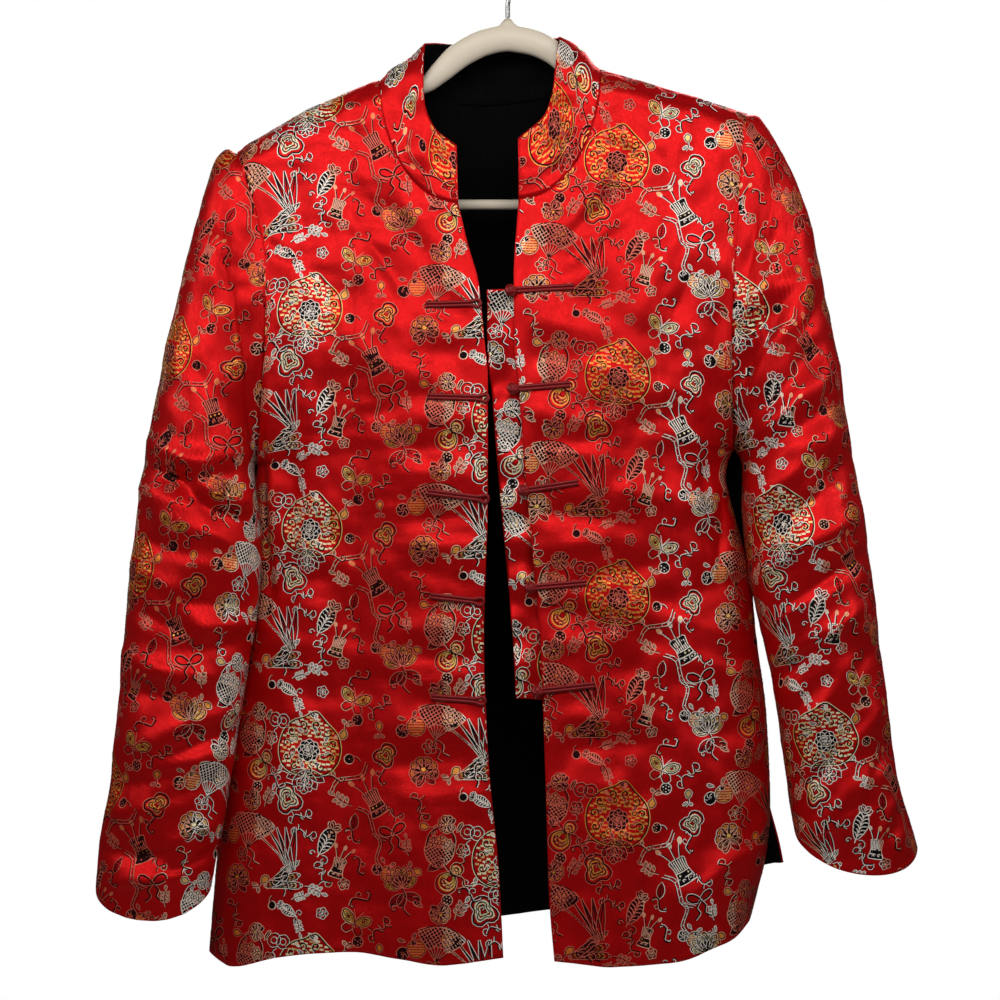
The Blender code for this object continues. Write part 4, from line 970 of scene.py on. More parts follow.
def brush_pot(s):
    s = s.at(0, -6)
    body = [(-9, 13), (0, 13.6), (9, 13), (7.5, 3), (9, -7), (11, -14), (0, -15), (-11, -14),
            (-9, -7), (-7.5, 3)]
    s.spot(body, "dark", "pale")
    for x in (-6.4, -3.9, -1.3, 1.3, 3.9, 6.4):
        s.hair([(x, 12.5), (x * 0.86, 4), (x * 0.9, 0)], width=0.8)
    for y in (-0.8, -7.4):
        s.hair([(-8.4, y), (0, y - 0.6), (8.4, y)], width=0.8)
    for x in (-5, 0, 5):
        s.spot(ring(x, -4.2, 1.4), "light")
    s.hair(spiral(-4, -11, 2.4, 0, 1), width=0.7)
    s.hair(spiral(4, -11, 2.4, 180, -1), width=0.7)
    for x, lean in ((-5, -6), (0, 1), (5, 7)):
        s.cord([(x, 13), (x + lean * 0.5, 21), (x + lean, 27)], width=0.6)
        leaf(s.at(x + lean, 26, 90 - lean * 4), 8, 4.5, "warm")


def gourd(s):
    rim = [(0, 21), (6, 18), (7, 11), (3.6, 6), (9, 1), (13, -8), (9, -18), (0, -21), (-9, -18),
           (-13, -8), (-9, 1), (-3.6, 6), (-7, 11), (-6, 18)]
    s.fill(rim, "light")
    s.cord(rim, True, 0.7)
    s.cord([(-5, 6.5), (0, 4.5), (5, 6.5)], width=1.2)
    s.cord(spiral(-4, -9, 4.6, 60, 1.1), width=0.6)
    s.cord(spiral(5, -11, 4.2, 200, -1.1), width=0.6)
    s.cord(ring(0, 13, 2.8), True, 0.6)
    s.cord([(0, 21), (2, 27), (-4, 31), (-9, 28)], width=0.7)
    s.cord([(4, 6), (13, 9), (20, 3), (27, 8)], width=0.7)
    s.cord([(-4, 6), (-14, 8), (-20, 15), (-26, 12)], width=0.7)
    leaf(s.at(-4, 30, 120), 11, 5)
    leaf(s.at(24, 7, 60), 10, 4.6, "warm")


def lotus(s):
    s = s.at(0, 5)
    for turn in (25, 155, 50, 130, 72, 108, 90):
        part = s.at(0, 0, turn)
        reach = 15 + 6 * math.sin(math.radians(turn))
        part.fill(petal(reach, 8.5, 1), "warm" if turn in (50, 130, 90) else "light")
        part.cord(petal(reach, 8.5, 1), True, 0.6)
        part.hair([(4, 0), (reach * 0.8, 0)], width=0.6, tone="dark")
    s.cord([(0, 0), (2, -10), (-3, -20), (2, -28)], width=0.8)
    for turn, reach in ((-150, 17), (-30, 18), (-115, 13)):
        veined_leaf(s.at(0, -6, turn), reach, 8)
    s.cord(spiral(11, -16, 5, 120, -1.1), width=0.7)
    s.cord(spiral(-11, -18, 4.6, 40, 1.1), width=0.7)


def peony(s):
    """A round flower seen from the side, of scalloped petals."""
    for reach, tone in ((13, "warm"), (8.5, "light")):
        for turn in range(-20, 221, 40):
            part = s.at(0, -3, turn)
            part.fill(petal(reach, reach * 0.62, 2), tone)
            part.cord([(3, 2), (reach * 0.8, reach * 0.32), (reach, 0), (reach * 0.8, -reach * 0.32),
                       (3, -2)], False, 0.6)
    s.spot(ring(0, -1, 2.6), "light", "dark")
    for turn in (200, 235, 305, 340):
        veined_leaf(s.at(0, -5, turn), 13, 6)


def plume(s):
    s = s.at(0, -18)
    s.spot([(0, 0), (6, 8), (9, 20), (4, 32), (-4, 33), (-9, 22), (-6, 8)], "dark", "pale")
    for number in range(6):
        y = 4 + 4.6 * number
        s.hair([(0, y), (3, y + 4), (7.2, y + 5)], width=0.8)
        s.hair([(0, y), (-3, y + 4), (-7.2, y + 5)], width=0.8)
    s.hair([(0, -4), (0, 12), (0, 30)], width=0.8)
    for turn in (30, 60, 120, 150):
        s.at(0, 33, turn).cord(petal(9, 4.4), True, 0.6)
    s.cord(spiral(-8, -3, 5, 40, 1.1), width=0.7)
    s.cord(spiral(8, -4, 5, 140, -1.1), width=0.7)


def scroll_rolls(s):
    rim = [(-20, -3.2), (0, -3.4), (20, -3.2), (21, 0), (20, 3.2), (0, 3.4), (-20, 3.2), (-21, 0)]
    for turn, tone in ((24, "warm"), (-14, "light"), (4, "warm")):
        piece = s.at(0, turn * 0.3, turn)
        piece.fill(rim, tone)
        piece.cord(rim, True, 0.6)
        piece.hair([(-18, 0.9), (18, 0.9)], width=0.5, tone="dark")
        piece.hair([(-18, -1.1), (18, -1.1)], width=0.5, tone="dark")
        for x in (-23.5, 23.5):
            piece.spot(ring(x, 0, 2.2), "dark", "pale")
    bow(s.at(0, 0, 10, 0.8))


def bow(s):
    for turn in (28, 152):
        s.at(0, 0, turn).cord([(0, 0), (7, 5), (14, 4), (15, -1), (8, -3)], True)
    s.cord([(0, 0), (-5, -8), (-2, -14), (-8, -20)])
    s.cord([(0, 0), (6, -7), (4, -14), (11, -19)])
    s.spot(ring(0, 0, 2.2), "dark", "pale")


def coins(s):
    for x, y in ((-5, 0), (5, 2)):
        s.cord(ring(x, y, 6.5), True, 0.7)
        s.cord([(x - 2, y - 2), (x + 2, y - 2), (x + 2, y + 2), (x - 2, y + 2)], True, 0.5)
    s.cord([(0, -6), (-3, -12), (3, -17)], width=0.7)


def basket(s):
    s = s.at(0, -5)
    body = [(-17, 4), (0, 6), (17, 4), (14, -8), (6, -15), (-6, -15), (-14, -8)]
    s.spot(body, "dark", "pale")
    s.hatch(bend(body, True), 3.4, 42, "pale", 0.6)
    s.hatch(bend(body, True), 3.4, -42, "pale", 0.6, "cord")
    s.cord([(-16, 4), (-14, 20), (0, 30), (14, 20), (16, 4)])
    for x, y in ((-9, 10), (0, 14), (9, 10)):
        blossom(s.at(x, y), 5, 6.5, "warm")
    for turn in (40, 140, 10, 170):
        leaf(s.at(0, 8, turn), 15, 5)
    s.cord([(-9, -17), (0, -19), (9, -17)], width=1.0)


def butterfly(s):
    for way in (1, -1):
        s.fill([(0, 1), (way * 6, 9), (way * 14, 10), (way * 13, 3), (way * 6, -1)], "light")
        s.cord([(0, 1), (way * 6, 9), (way * 14, 10), (way * 13, 3), (way * 6, -1)], True, 0.7)
        s.cord([(0, -1), (way * 7, -2), (way * 10, -7), (way * 5, -10), (way * 1, -5)], True, 0.6)
        s.hair(spiral(way * 9, 6, 2.4, 0, way * 1.0), width=0.6, tone="dark")
        s.hair([(0, 4), (way * 2, 8), (way * 5, 13)], width=0.5)
    s.spot([(0, 5), (1.3, 0), (0, -8), (-1.3, 0)], "dark", "pale")


Motif = namedtuple("Motif", "draw reach size turn")
MOTIFS = (
    Motif(peach, 27, 0.78, -6), Motif(reeds, 14, 0.88, 24), Motif(lotus, 14, 0.78, 12),
    Motif(folding_fan, 15, 0.68, 16), Motif(basket, 12, 0.66, -12), Motif(gourd, 12, 0.62, -38),
    Motif(brush_pot, 11, 0.70, 30), Motif(cloud, 9, 0.88, 20), Motif(scroll_rolls, 12, 0.64, 14),
    Motif(plume, 12, 0.66, -30), Motif(peony, 10, 0.84, 10), Motif(fruit_pair, 9, 0.78, 14),
    Motif(fruit_pair, 8, 0.66, -24), Motif(cloud, 7, 0.70, -34), Motif(butterfly, 9, 0.80, -20),
    Motif(bow, 9, 0.72, 8), Motif(coins, 7, 0.74, -20), Motif(streamer, 10, 0.80, 34),
    Motif(streamer, 9, 0.76, -50), Motif(thorn_vine, 7.5, 0.92, 40), Motif(thorn_vine, 7.5, 0.92, -70),
    Motif(thorn_vine, 7, 0.84, 110), Motif(seed_pod, 5, 0.86, 30), Motif(seed_pod, 4.5, 0.76, 200),
    Motif(seed_pod, 5, 0.86, 100), Motif(blossom, 5, 0.9, 10), Motif(blossom, 5, 0.84, 30),
    Motif(peony, 7.5, 0.60, 200), Motif(wisp, 7.5, 0.76, 14), Motif(wisp, 7.5, 0.76, -40),
    Motif(wisp, 7, 0.68, 80), Motif(spray, 7.5, 0.82, 60), Motif(spray, 7.5, 0.82, 150),
    Motif(spray, 7, 0.74, -20), Motif(bud, 6, 0.94, 40), Motif(bud, 6, 0.94, -110),
    Motif(bud, 5.5, 0.86, 160), Motif(brush_pot, 8, 0.52, -18),
    Motif(thorn_vine, 6.5, 0.78, 10), Motif(thorn_vine, 6.5, 0.74, 150), Motif(thorn_vine, 6.5, 0.80, -20),
    Motif(wisp, 6.5, 0.62, -80), Motif(wisp, 6, 0.58, 120), Motif(spray, 6.5, 0.66, 100),
    Motif(spray, 6.5, 0.66, -70), Motif(spray, 6, 0.60, 20), Motif(bud, 5, 0.80, 90),
    Motif(bud, 5, 0.80, -30), Motif(streamer, 8, 0.62, 100), Motif(leaf, 4.5, 1.0, 60),
    Motif(leaf, 4.5, 1.0, -40), Motif(leaf, 4.5, 1.0, 150), Motif(veined_leaf, 6, 0.70, 30),
    Motif(veined_leaf, 6, 0.70, -100), Motif(blossom, 4.5, 0.70, 50), Motif(blossom, 4.5, 0.70, 80),
    Motif(seed_pod, 4, 0.64, -60), Motif(peony, 6.5, 0.50, 90), Motif(plume, 8, 0.44, 60),
)
SPREAD_SEED = 4
SPREAD_STEPS = 700


def spread_out(motifs):
    """A place for each motif in the half-drop repeat, pushed apart until they clear one another."""
    rng = np.random.default_rng(SPREAD_SEED)
    places = rng.uniform((0, 0), (REPEAT_WIDTH, REPEAT_HEIGHT), (len(motifs), 2))
    reach = np.array([motif.reach for motif in motifs], float)
    wanted = (reach[:, None] + reach[None])[..., None]
    shifts = np.array([(over * REPEAT_WIDTH, down * REPEAT_HEIGHT + abs(over) * REPEAT_HEIGHT / 2)
                       for over in (-1, 0, 1) for down in (-2, -1, 0, 1, 2)])
    for _ in range(SPREAD_STEPS):
        between = places[:, None, None] - places[None, :, None] - shifts
        distance = np.maximum(np.linalg.norm(between, axis=-1), 1e-6)
        push = np.where(distance > 1e-3, np.clip(wanted - distance, 0, None), 0) / distance
        places += (between * push[..., None]).sum(axis=(1, 2)) * 0.2
        places[:, 0] %= REPEAT_WIDTH * 2
        places[:, 1] %= REPEAT_HEIGHT
    return places


def draw_repeat(fineness):
    """One repeat of the woven pattern, as a flat mesh with its warp running down."""
    pen.longest, pen.steepest = fineness
    whole = bmesh.new()
    for motif, (x, y) in zip(MOTIFS, spread_out(MOTIFS)):
        bm = bmesh.new()
        motif.draw(Sketch(bm, x, y, motif.turn, motif.size))
        part = bpy.data.meshes.new("motif")
        for _ in TONES:
            part.materials.append(None)
        bm.to_mesh(part)
        bm.free()
        whole.from_mesh(part)
        bpy.data.meshes.remove(part)
    bmesh.ops.scale(whole, vec=(1, -1, 1), verts=whole.verts)
    bmesh.ops.reverse_faces(whole, faces=whole.faces)
    mesh = bpy.data.meshes.new("repeat")
    for _ in TONES:
        mesh.materials.append(None)
    whole.to_mesh(mesh)
    whole.free()
    return mesh


# Cloth pieces
def grid_mesh(cloth):
    """A bmesh through a cloth's points, with its flat place in the cloth as its UV map."""
    rows, columns = cloth.points.shape[:2]
    bm = bmesh.new()
    bmesh.ops.create_grid(bm, x_segments=columns - 1, y_segments=rows - 1, size=0.5)
    uv = bm.loops.layers.uv.new("cloth")
    place = {}
    for vert in bm.verts:
        over = round((vert.co.x + 0.5) * (columns - 1))
        down = round((vert.co.y + 0.5) * (rows - 1))
        place[vert] = (down, over)
        vert.co = cloth.points[down, over] * MM
    for face in bm.faces:
        for loop in face.loops:
            loop[uv].uv = cloth.flat[place[loop.vert]] * MM * 10
    first = bm.faces[:][0]
    first.normal_update()
    down, over = place[first.verts[0]]
    if first.normal.dot(Vector(cloth.facing[down, over])) < 0:
        bmesh.ops.reverse_faces(bm, faces=bm.faces[:])
    bmesh.ops.remove_doubles(bm, verts=bm.verts, dist=1e-6)
    return bm


def add_object(name, bm, materials, node=None):
    mesh = bpy.data.meshes.new(name)
    bm.to_mesh(mesh)
    bm.free()
    mesh.shade_smooth()
    for material in materials:
        mesh.materials.append(material)
    piece = bpy.data.objects.new(name, mesh)
    bpy.context.scene.collection.objects.link(piece)
    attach(piece, "root")
    if node:
        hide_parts(node)
    return piece


def lay_flat(points, start, sign, row):
    """Where each point of a cloth lies in the flat cloth: along its weft and down its warp."""
    over = np.diff(points, axis=1)
    weft = np.hypot(over[..., 0], over[..., 1])
    along = np.concatenate((np.zeros((len(points), 1)), np.cumsum(weft, axis=1)), axis=1)
    down = np.diff(points, axis=0)
    warp = np.hypot(down[..., 1], down[..., 2]) * -np.sign(down[..., 2])
    depth = np.concatenate((np.zeros((1, points.shape[1])), np.cumsum(warp, axis=0)))
    depth = depth - depth[row] - points[row, :, 2]
    return np.stack((start + sign * along, depth), -1)


def ruffle(points, scale, height, seed):
    """Soft unevenness of the cloth, from a few crossed waves. The height is about its usual size."""
    rng = np.random.default_rng(seed)
    total = np.zeros(points.shape[:-1])
    x, z = points[..., 0], points[..., 2]
    for _ in range(RUFFLE_WAVES):
        turn = rng.uniform(0, math.pi)
        wave = rng.uniform(0.6, 1.6) * 2 * math.pi / scale
        phase = rng.uniform(0, 2 * math.pi)
        total += np.sin((x * math.cos(turn) + z * math.sin(turn)) * wave + phase)
    return total * height / math.sqrt(RUFFLE_WAVES / 2)


def make_cloth(points, outward, creases, flat, seed, pinned, dip=0.0):
    """A cloth's points with its creases, which die out towards pinned edges."""
    facing = grid_normals(points, outward)
    lift = fold_height(creases, points[..., 0], points[..., 2], CREASE_SHARPNESS)
    lift = lift + ruffle(points, 44, SOFT_RUFFLE, seed) + ruffle(points, 17, FINE_RUFFLE, seed + 1)
    points = points + facing * (lift * pinned + dip)[..., None]
    return SimpleNamespace(points=points, facing=grid_normals(points, outward), flat=flat)


def edge_pin(share, reach=0.05):
    return np.clip(share / reach, 0, 1)


RUFFLE_WAVES = 14
SOFT_RUFFLE = 0.6
FINE_RUFFLE = 0.22
CREASE_SHARPNESS = 1.5
SLEEVE_CREASING = 1.3
SEAM_DIP = 0.9  # how far the cloth is pulled in along an armhole seam
SEAM_DIP_WIDTH = 4.0
FRONT_STEPS = 8
FRONT_COLUMNS = 104
BACK_STEPS = 5
BACK_COLUMNS = 90
INSIDE_STEPS = 3
INSIDE_COLUMNS = 50
SLEEVE_AROUND = 88
SLEEVE_STEPS = 172
SLEEVE_SIDE_CREASING = 0.12  # share of a crease's height where the sleeve turns away
SLEEVE_TUCK = 3.0  # how far a sleeve's edge runs in under the body at the armhole
SLEEVE_TUCK_DEPTH = 1.2
WALL = 2.1
SINGLE_WALL = 1.1  # of the back and collar, whose brocade and reverse are apart
PLACKET_WALL = 1.8
REVERSE_BEHIND = 1.5  # from the brocade's face


def front_cloth(side, creases, seed):
    share = np.linspace(0, 1, FRONT_COLUMNS)
    across, row = np.meshgrid(1 - (1 - share) ** 1.4,
                              np.linspace(0, HEM_ROW, HEM_ROW * FRONT_STEPS + 1))
    points = front_panel(side, across, row)
    start = points[:, :1, 0]
    flat = lay_flat(points, start, side.out, ARM_ROW * FRONT_STEPS)
    pin = edge_pin(1 - across) * edge_pin(row / HEM_ROW, 0.03)
    pin = pin * mix(0.35, 1, edge_pin(across, 0.08))
    to_side = np.abs(flat[:, -1:, 0] - flat[..., 0])
    armhole = np.clip(ARM_ROW + 1 - row, 0, 1)
    dip = -SEAM_DIP * np.exp(-((to_side / SEAM_DIP_WIDTH) ** 2)) * armhole
    return make_cloth(points, np.array((0, -1.0, 0)), creases, flat, seed, pin, dip)


def back_cloth(seed, steps=BACK_STEPS, columns=BACK_COLUMNS, offset=0.0):
    place = np.linspace(-1, 1, columns)
    across, row = np.meshgrid(np.sign(place) * (1 - (1 - np.abs(place)) ** 1.25),
                              np.linspace(0, HEM_ROW, HEM_ROW * steps + 1))
    points = back_panel(across, row)
    flat = lay_flat(points, points[:, :1, 0], 1, ARM_ROW * steps) * np.array((-1, 1))
    pin = edge_pin(1 - np.abs(across)) * edge_pin(row / HEM_ROW, 0.03)
    cloth = make_cloth(points, np.array((0, 1.0, 0)), CREASES_BACK, flat, seed, pin)
    cloth.points = cloth.points - cloth.facing * offset
    return cloth


def sleeve_cloth(side, rings, creases, seed, band_shift):
    points = sleeve_surface(side, rings, SLEEVE_AROUND, SLEEVE_STEPS)
    middle = points.mean(axis=1, keepdims=True)
    run = unit(middle[-1, 0] - middle[0, 0])
    sideways = np.array((-run[2], 0, run[0]))
    across = np.diff(points @ sideways, axis=1)
    over = np.hypot(across, np.diff(points[..., 1], axis=1))
    along = np.concatenate((np.zeros((len(points), 1)), np.cumsum(over, axis=1)), axis=1)
    front, behind = SLEEVE_AROUND * 3 // 4, SLEEVE_AROUND // 4
    weft = (along[:, front, None] - along) * side.out + (points[:, front] @ sideways)[:, None]
    weft_behind = (along[:, behind, None] - along) * side.out - (points[:, behind] @ sideways)[:, None]
    flat = np.stack((weft + band_shift, points @ run), -1)
    flat_behind = np.stack((weft_behind + band_shift, points @ run), -1)
    share = np.linspace(0, 1, SLEEVE_STEPS)[:, None]
    pin = edge_pin(share, 0.03) * np.ones((1, points.shape[1]))
    facing = unit(points - middle)
    frontal = mix(SLEEVE_SIDE_CREASING, 1, np.clip(np.abs(facing[..., 1]) * 1.5, 0, 1))
    from_seam = np.linalg.norm(points - points[:1], axis=-1)
    dip = -SEAM_DIP * np.exp(-((from_seam / SEAM_DIP_WIDTH) ** 2))
    pin = pin * frontal * SLEEVE_CREASING
    cloth = make_cloth(points, points - middle, creases, flat, seed, pin, dip)
    tuck = cloth.points[:1] - cloth.facing[:1] * SLEEVE_TUCK_DEPTH - (side.out * SLEEVE_TUCK, 0, 0)
    cloth.points = np.concatenate((tuck, cloth.points))
    cloth.facing = np.concatenate((cloth.facing[:1], cloth.facing))
    cloth.flat = np.concatenate((flat[:1] - (0, SLEEVE_TUCK), flat))
    cloth.flat_behind = np.concatenate((flat_behind[:1] - (0, SLEEVE_TUCK), flat_behind))
    return cloth


def half_sleeve(cloth, flat, columns):
    """The sleeve's front or its back, which carry their threads apart."""
    half = SimpleNamespace(points=cloth.points[:, columns], facing=cloth.facing[:, columns])
    half.flat = flat[:, columns]
    return half


def add_cloth(name, cloth, node, materials=(SATIN, VELVET), wall=WALL):
    piece = add_object(name, grid_mesh(cloth), materials, node)
    solid = piece.modifiers.new("wall", "SOLIDIFY")
    solid.thickness = wall * MM
    solid.offset = -1
    solid.material_offset = len(materials) - 1
    solid.material_offset_rim = 0
    return piece


REPEAT = draw_repeat(FINE)
COARSE_REPEAT = draw_repeat(COARSE)


def first_corners(points):
    """The number of each square's first corner, and of the points in a row, in a grid of points."""
    rows, columns = points.shape[:2]
    return (np.arange(rows - 1)[:, None] * columns + np.arange(columns - 1)).reshape(-1), columns


def weave(name, cloth, shift=(0.0, 0.0), repeat=REPEAT):
    """The pattern's threads over a cloth: repeats laid on the flat cloth, then onto its real shape."""
    places = cloth.flat.reshape(-1, 2)
    flat = np.concatenate((places, np.zeros((len(places), 1))), axis=1)
    corner, columns = first_corners(cloth.points)
    triangles = np.concatenate((
        np.stack((corner, corner + 1, corner + columns + 1), -1),
        np.stack((corner, corner + columns + 1, corner + columns), -1)))
    tree = BVHTree.FromPolygons(flat.tolist(), triangles.tolist())
    low, high = flat[:, :2].min(axis=0), flat[:, :2].max(axis=0)
    bm = bmesh.new()
    first = np.floor((low - shift) / (REPEAT_WIDTH, REPEAT_HEIGHT)).astype(int) - 1
    last = np.ceil((high - shift) / (REPEAT_WIDTH, REPEAT_HEIGHT)).astype(int) + 1
    for over in range(first[0], last[0] + 1):
        for down in range(first[1], last[1] + 1):
            before = len(bm.verts)
            bm.from_mesh(repeat)
            drop = REPEAT_HEIGHT / 2 * (over % 2)
            place = (over * REPEAT_WIDTH + shift[0], down * REPEAT_HEIGHT + shift[1] + drop, 0)
            bm.verts.ensure_lookup_table()
            bmesh.ops.translate(bm, verts=bm.verts[before:], vec=place)
    off, found = [], []
    down_ray = Vector((0, 0, -1))
    for vert in bm.verts:
        hit = tree.ray_cast(Vector((vert.co.x, vert.co.y, 1)), down_ray)
        if hit[2] is None:
            off.append(vert)
        else:
            found.append((vert.co.x, vert.co.y, vert.co.z, hit[2]))
    bmesh.ops.delete(bm, geom=off, context="VERTS")
    # Painted sheen: each face takes the white, blush or rose copy of its tone from the band it lies in
    # across the flat weft.
    for face in bm.faces:
        place = (face.verts[0].co.x - SHEEN_BAND_MIDDLE) / SHEEN_BAND_REPEAT
        aside = abs(place - round(place))
        band = (aside > WHITE_SHEEN_REACH) + (aside > HALF_SHEEN_REACH)
        face.material_index += len(TONES) * band
    found = np.array(found)
    corners = triangles[found[:, 3].astype(int)]
    a, b, c = (flat[corners[:, index], :2] for index in range(3))
    here = found[:, :2]
    across = (b - a)[:, 0] * (c - a)[:, 1] - (b - a)[:, 1] * (c - a)[:, 0]
    to_b = ((here - a)[:, 0] * (c - a)[:, 1] - (here - a)[:, 1] * (c - a)[:, 0]) / across
    to_c = ((b - a)[:, 0] * (here - a)[:, 1] - (b - a)[:, 1] * (here - a)[:, 0]) / across
    shares = np.stack((1 - to_b - to_c, to_b, to_c), -1)[..., None]
    points = (cloth.points.reshape(-1, 3)[corners] * shares).sum(axis=1)
    facing = unit((cloth.facing.reshape(-1, 3)[corners] * shares).sum(axis=1))
    points = (points + facing * found[:, 2, None]) * MM
    for vert, point in zip(bm.verts, points):
        vert.co = point
    check = bm.faces[:][0]
    check.normal_update()
    bm.verts.index_update()
    if check.normal.dot(Vector(facing[check.verts[0].index])) < 0:
        bmesh.ops.reverse_faces(bm, faces=bm.faces[:])
    materials = [THREADS[tone, band] for band in SHEEN_BANDS for tone in TONES]
    return add_object(name, bm, materials)


def make_body():
    made = []
    for name, side, creases, seed, shift in (("front_right", RIGHT, CREASES_RIGHT, 3, (-20, 40)),
                                             ("front_left", LEFT, CREASES_LEFT, 5, (66, 8))):
        cloth = front_cloth(side, creases, seed)
        panel = add_cloth(f"{name}_cloth", cloth, name)
        threads = weave(f"{name}_threads", cloth, shift)
        made.append(cloth)
    cloth = back_cloth(7)
    panel = add_cloth("back_cloth", cloth, "back", (SATIN,), SINGLE_WALL)
    threads = weave("back_threads", cloth, (30, 20), COARSE_REPEAT)
    inside = back_cloth(7, INSIDE_STEPS, INSIDE_COLUMNS, REVERSE_BEHIND)
    panel = add_cloth("back_reverse", inside, "back_lining", (VELVET,), SINGLE_WALL)
    return made


def make_sleeves():
    for name, side, rings, creases, seed, band_shift, shift in (
            ("right", RIGHT, SLEEVE_RIGHT, CREASES_SLEEVE_RIGHT, 11, -60, (14, 30)),
            ("left", LEFT, SLEEVE_LEFT, CREASES_SLEEVE_LEFT, 13, 27, (-30, 70))):
        name, front = f"sleeve_{name}", f"front_{name}_cloth"
        cloth = sleeve_cloth(side, rings, creases, seed, band_shift)
        panel = add_cloth(f"{name}_cloth", cloth, name)
        middle = SLEEVE_AROUND // 2
        before = half_sleeve(cloth, cloth.flat, slice(middle, None))
        behind = half_sleeve(cloth, cloth.flat_behind, slice(0, middle + 1))
        threads = weave(f"{name}_threads", before, shift)
        threads_behind = weave(f"{name}_threads_behind", behind, shift, COARSE_REPEAT)


def curve_points(rows, at):
    return np.stack([smooth(column(rows, name), at) for name in ("x", "y", "z")], -1)


def way_along(points):
    steps = np.linalg.norm(np.diff(points, axis=0), axis=1)
    return np.concatenate(((0,), np.cumsum(steps))) / steps.sum()


COLLAR_FRONT_STEPS = 42
COLLAR_BACK_STEPS = 48
COLLAR_ROWS = 16
COLLAR_LENGTH = 330.0  # along the neck seam
COLLAR_HEIGHT = 45.0
COLLAR_BAND_SHIFT = 90.0
COLLAR_SWELL = 0.8
COLLAR_RUFFLE = 1.2
COLLAR_TUCK = 1.2  # rows by which its reverse runs down behind the neck seam


def make_collar():
    rows = np.linspace(0, NECK_ROW, COLLAR_FRONT_STEPS)
    right = front_panel(RIGHT, np.zeros_like(rows), rows)
    left = front_panel(LEFT, np.zeros_like(rows), rows)
    width = LEFT.shoulder[0] - RIGHT.shoulder[0]
    ends = [2 * (side.neck[0] - RIGHT.shoulder[0]) / width - 1 for side in (RIGHT, LEFT)]
    turn = np.linspace(0, math.pi, COLLAR_BACK_STEPS)[1:-1]
    behind = back_panel(mix(ends[0], ends[1], (1 - np.cos(turn)) / 2), np.zeros_like(turn))
    whole = np.concatenate((right[:1], behind, left[:1]))
    seam = np.concatenate((right[::-1], behind, left))
    top = np.concatenate((curve_points(COLLAR_RIGHT, way_along(right)[::-1]),
                          curve_points(COLLAR_BACK, way_along(whole)[1:-1]),
                          curve_points(COLLAR_LEFT, way_along(left))))
    up = unit(top - seam)
    seam = seam + up * SEAM_GAP
    share = np.linspace(0, 1, COLLAR_ROWS)[:, None, None]
    points = mix(top[None], seam[None], share)
    middle = points.mean(axis=(0, 1), keepdims=True)
    outward = (points - middle) * np.array((1, 1, 0))
    facing = grid_normals(points, outward)
    swell = np.sin(math.pi * share[..., 0]) * COLLAR_SWELL
    swell = swell + ruffle(points, 30, COLLAR_RUFFLE, 21) * edge_pin(1 - share[..., 0], 0.2)
    points = points + facing * swell[..., None]
    along = way_along(seam) * COLLAR_LENGTH - COLLAR_BAND_SHIFT
    flat = np.stack((np.broadcast_to(along, points.shape[:2]),
                     np.broadcast_to(share[..., 0] * COLLAR_HEIGHT, points.shape[:2])), -1)
    cloth = SimpleNamespace(points=points, facing=facing, flat=flat)
    panel = add_cloth("collar_cloth", cloth, "collar", (SATIN,), SINGLE_WALL)
    threads = weave("collar_threads", cloth, (40, 100))
    below = (points[-1:] - points[-2:-1]) * COLLAR_TUCK
    inside = SimpleNamespace(facing=np.concatenate((facing, facing[-1:])))
    inside.points = np.concatenate((points, points[-1:] + below)) - inside.facing * REVERSE_BEHIND
    inside.flat = np.concatenate((flat, flat[-1:] + (0, 1)))
    panel = add_cloth("collar_reverse", inside, "collar_lining", (VELVET,), SINGLE_WALL)


def cloth_tree(points):
    corner, columns = first_corners(points)
    squares = np.stack((corner, corner + 1, corner + columns + 1, corner + columns), -1)
    return BVHTree.FromPolygons(points.reshape(-1, 3).tolist(), squares.tolist())


def plain_front(side):
    """A front without its creases, for laying things on it."""
    across, row = np.meshgrid(np.linspace(0, 1, 40), np.linspace(0, HEM_ROW, 6 * HEM_ROW + 1))
    return cloth_tree(front_panel(side, across, row))


PLACKET_ROWS = 90
PLACKET_COLUMNS = 16
PLACKET_RUFFLE = 2.0


def make_placket():
    tree = plain_front(LEFT)
    ahead = Vector((0, 1, 0))
    z = np.linspace(PLACKET_TOP, PLACKET_BOTTOM, PLACKET_ROWS)
    offsets = np.linspace(-PLACKET_SHOWS, PLACKET_TUCK, PLACKET_COLUMNS)
    edge = smooth(LEFT.edge, z)
    points = np.empty((len(z), len(offsets), 3))
    for down, height in enumerate(z):
        near = tree.ray_cast(Vector((edge[down] + EDGE_MARGIN, -1000, height)), ahead)[0].y
        far = tree.ray_cast(Vector((edge[down] + PLACKET_TUCK, -1000, height)), ahead)[0].y
        rests = np.interp(offsets, (0, PLACKET_TUCK), (near, far))
        points[down] = np.stack((edge[down] + offsets, rests + PLACKET_BEHIND,
                                 np.full(len(offsets), height)), -1)
    flat = np.stack((points[..., 0], -points[..., 2]), -1)
    facing = grid_normals(points, np.array((0, -1.0, 0)))
    pin = edge_pin(1 - (offsets + PLACKET_SHOWS) / (PLACKET_SHOWS + PLACKET_TUCK), 0.5)
    points = points + facing * (ruffle(points, 40, PLACKET_RUFFLE, 31) * pin)[..., None]
    cloth = SimpleNamespace(points=points, facing=facing, flat=flat)
    panel = add_cloth("placket_cloth", cloth, "placket", (SATIN, VELVET), PLACKET_WALL)
    threads = weave("placket_threads", cloth, (30, 60))


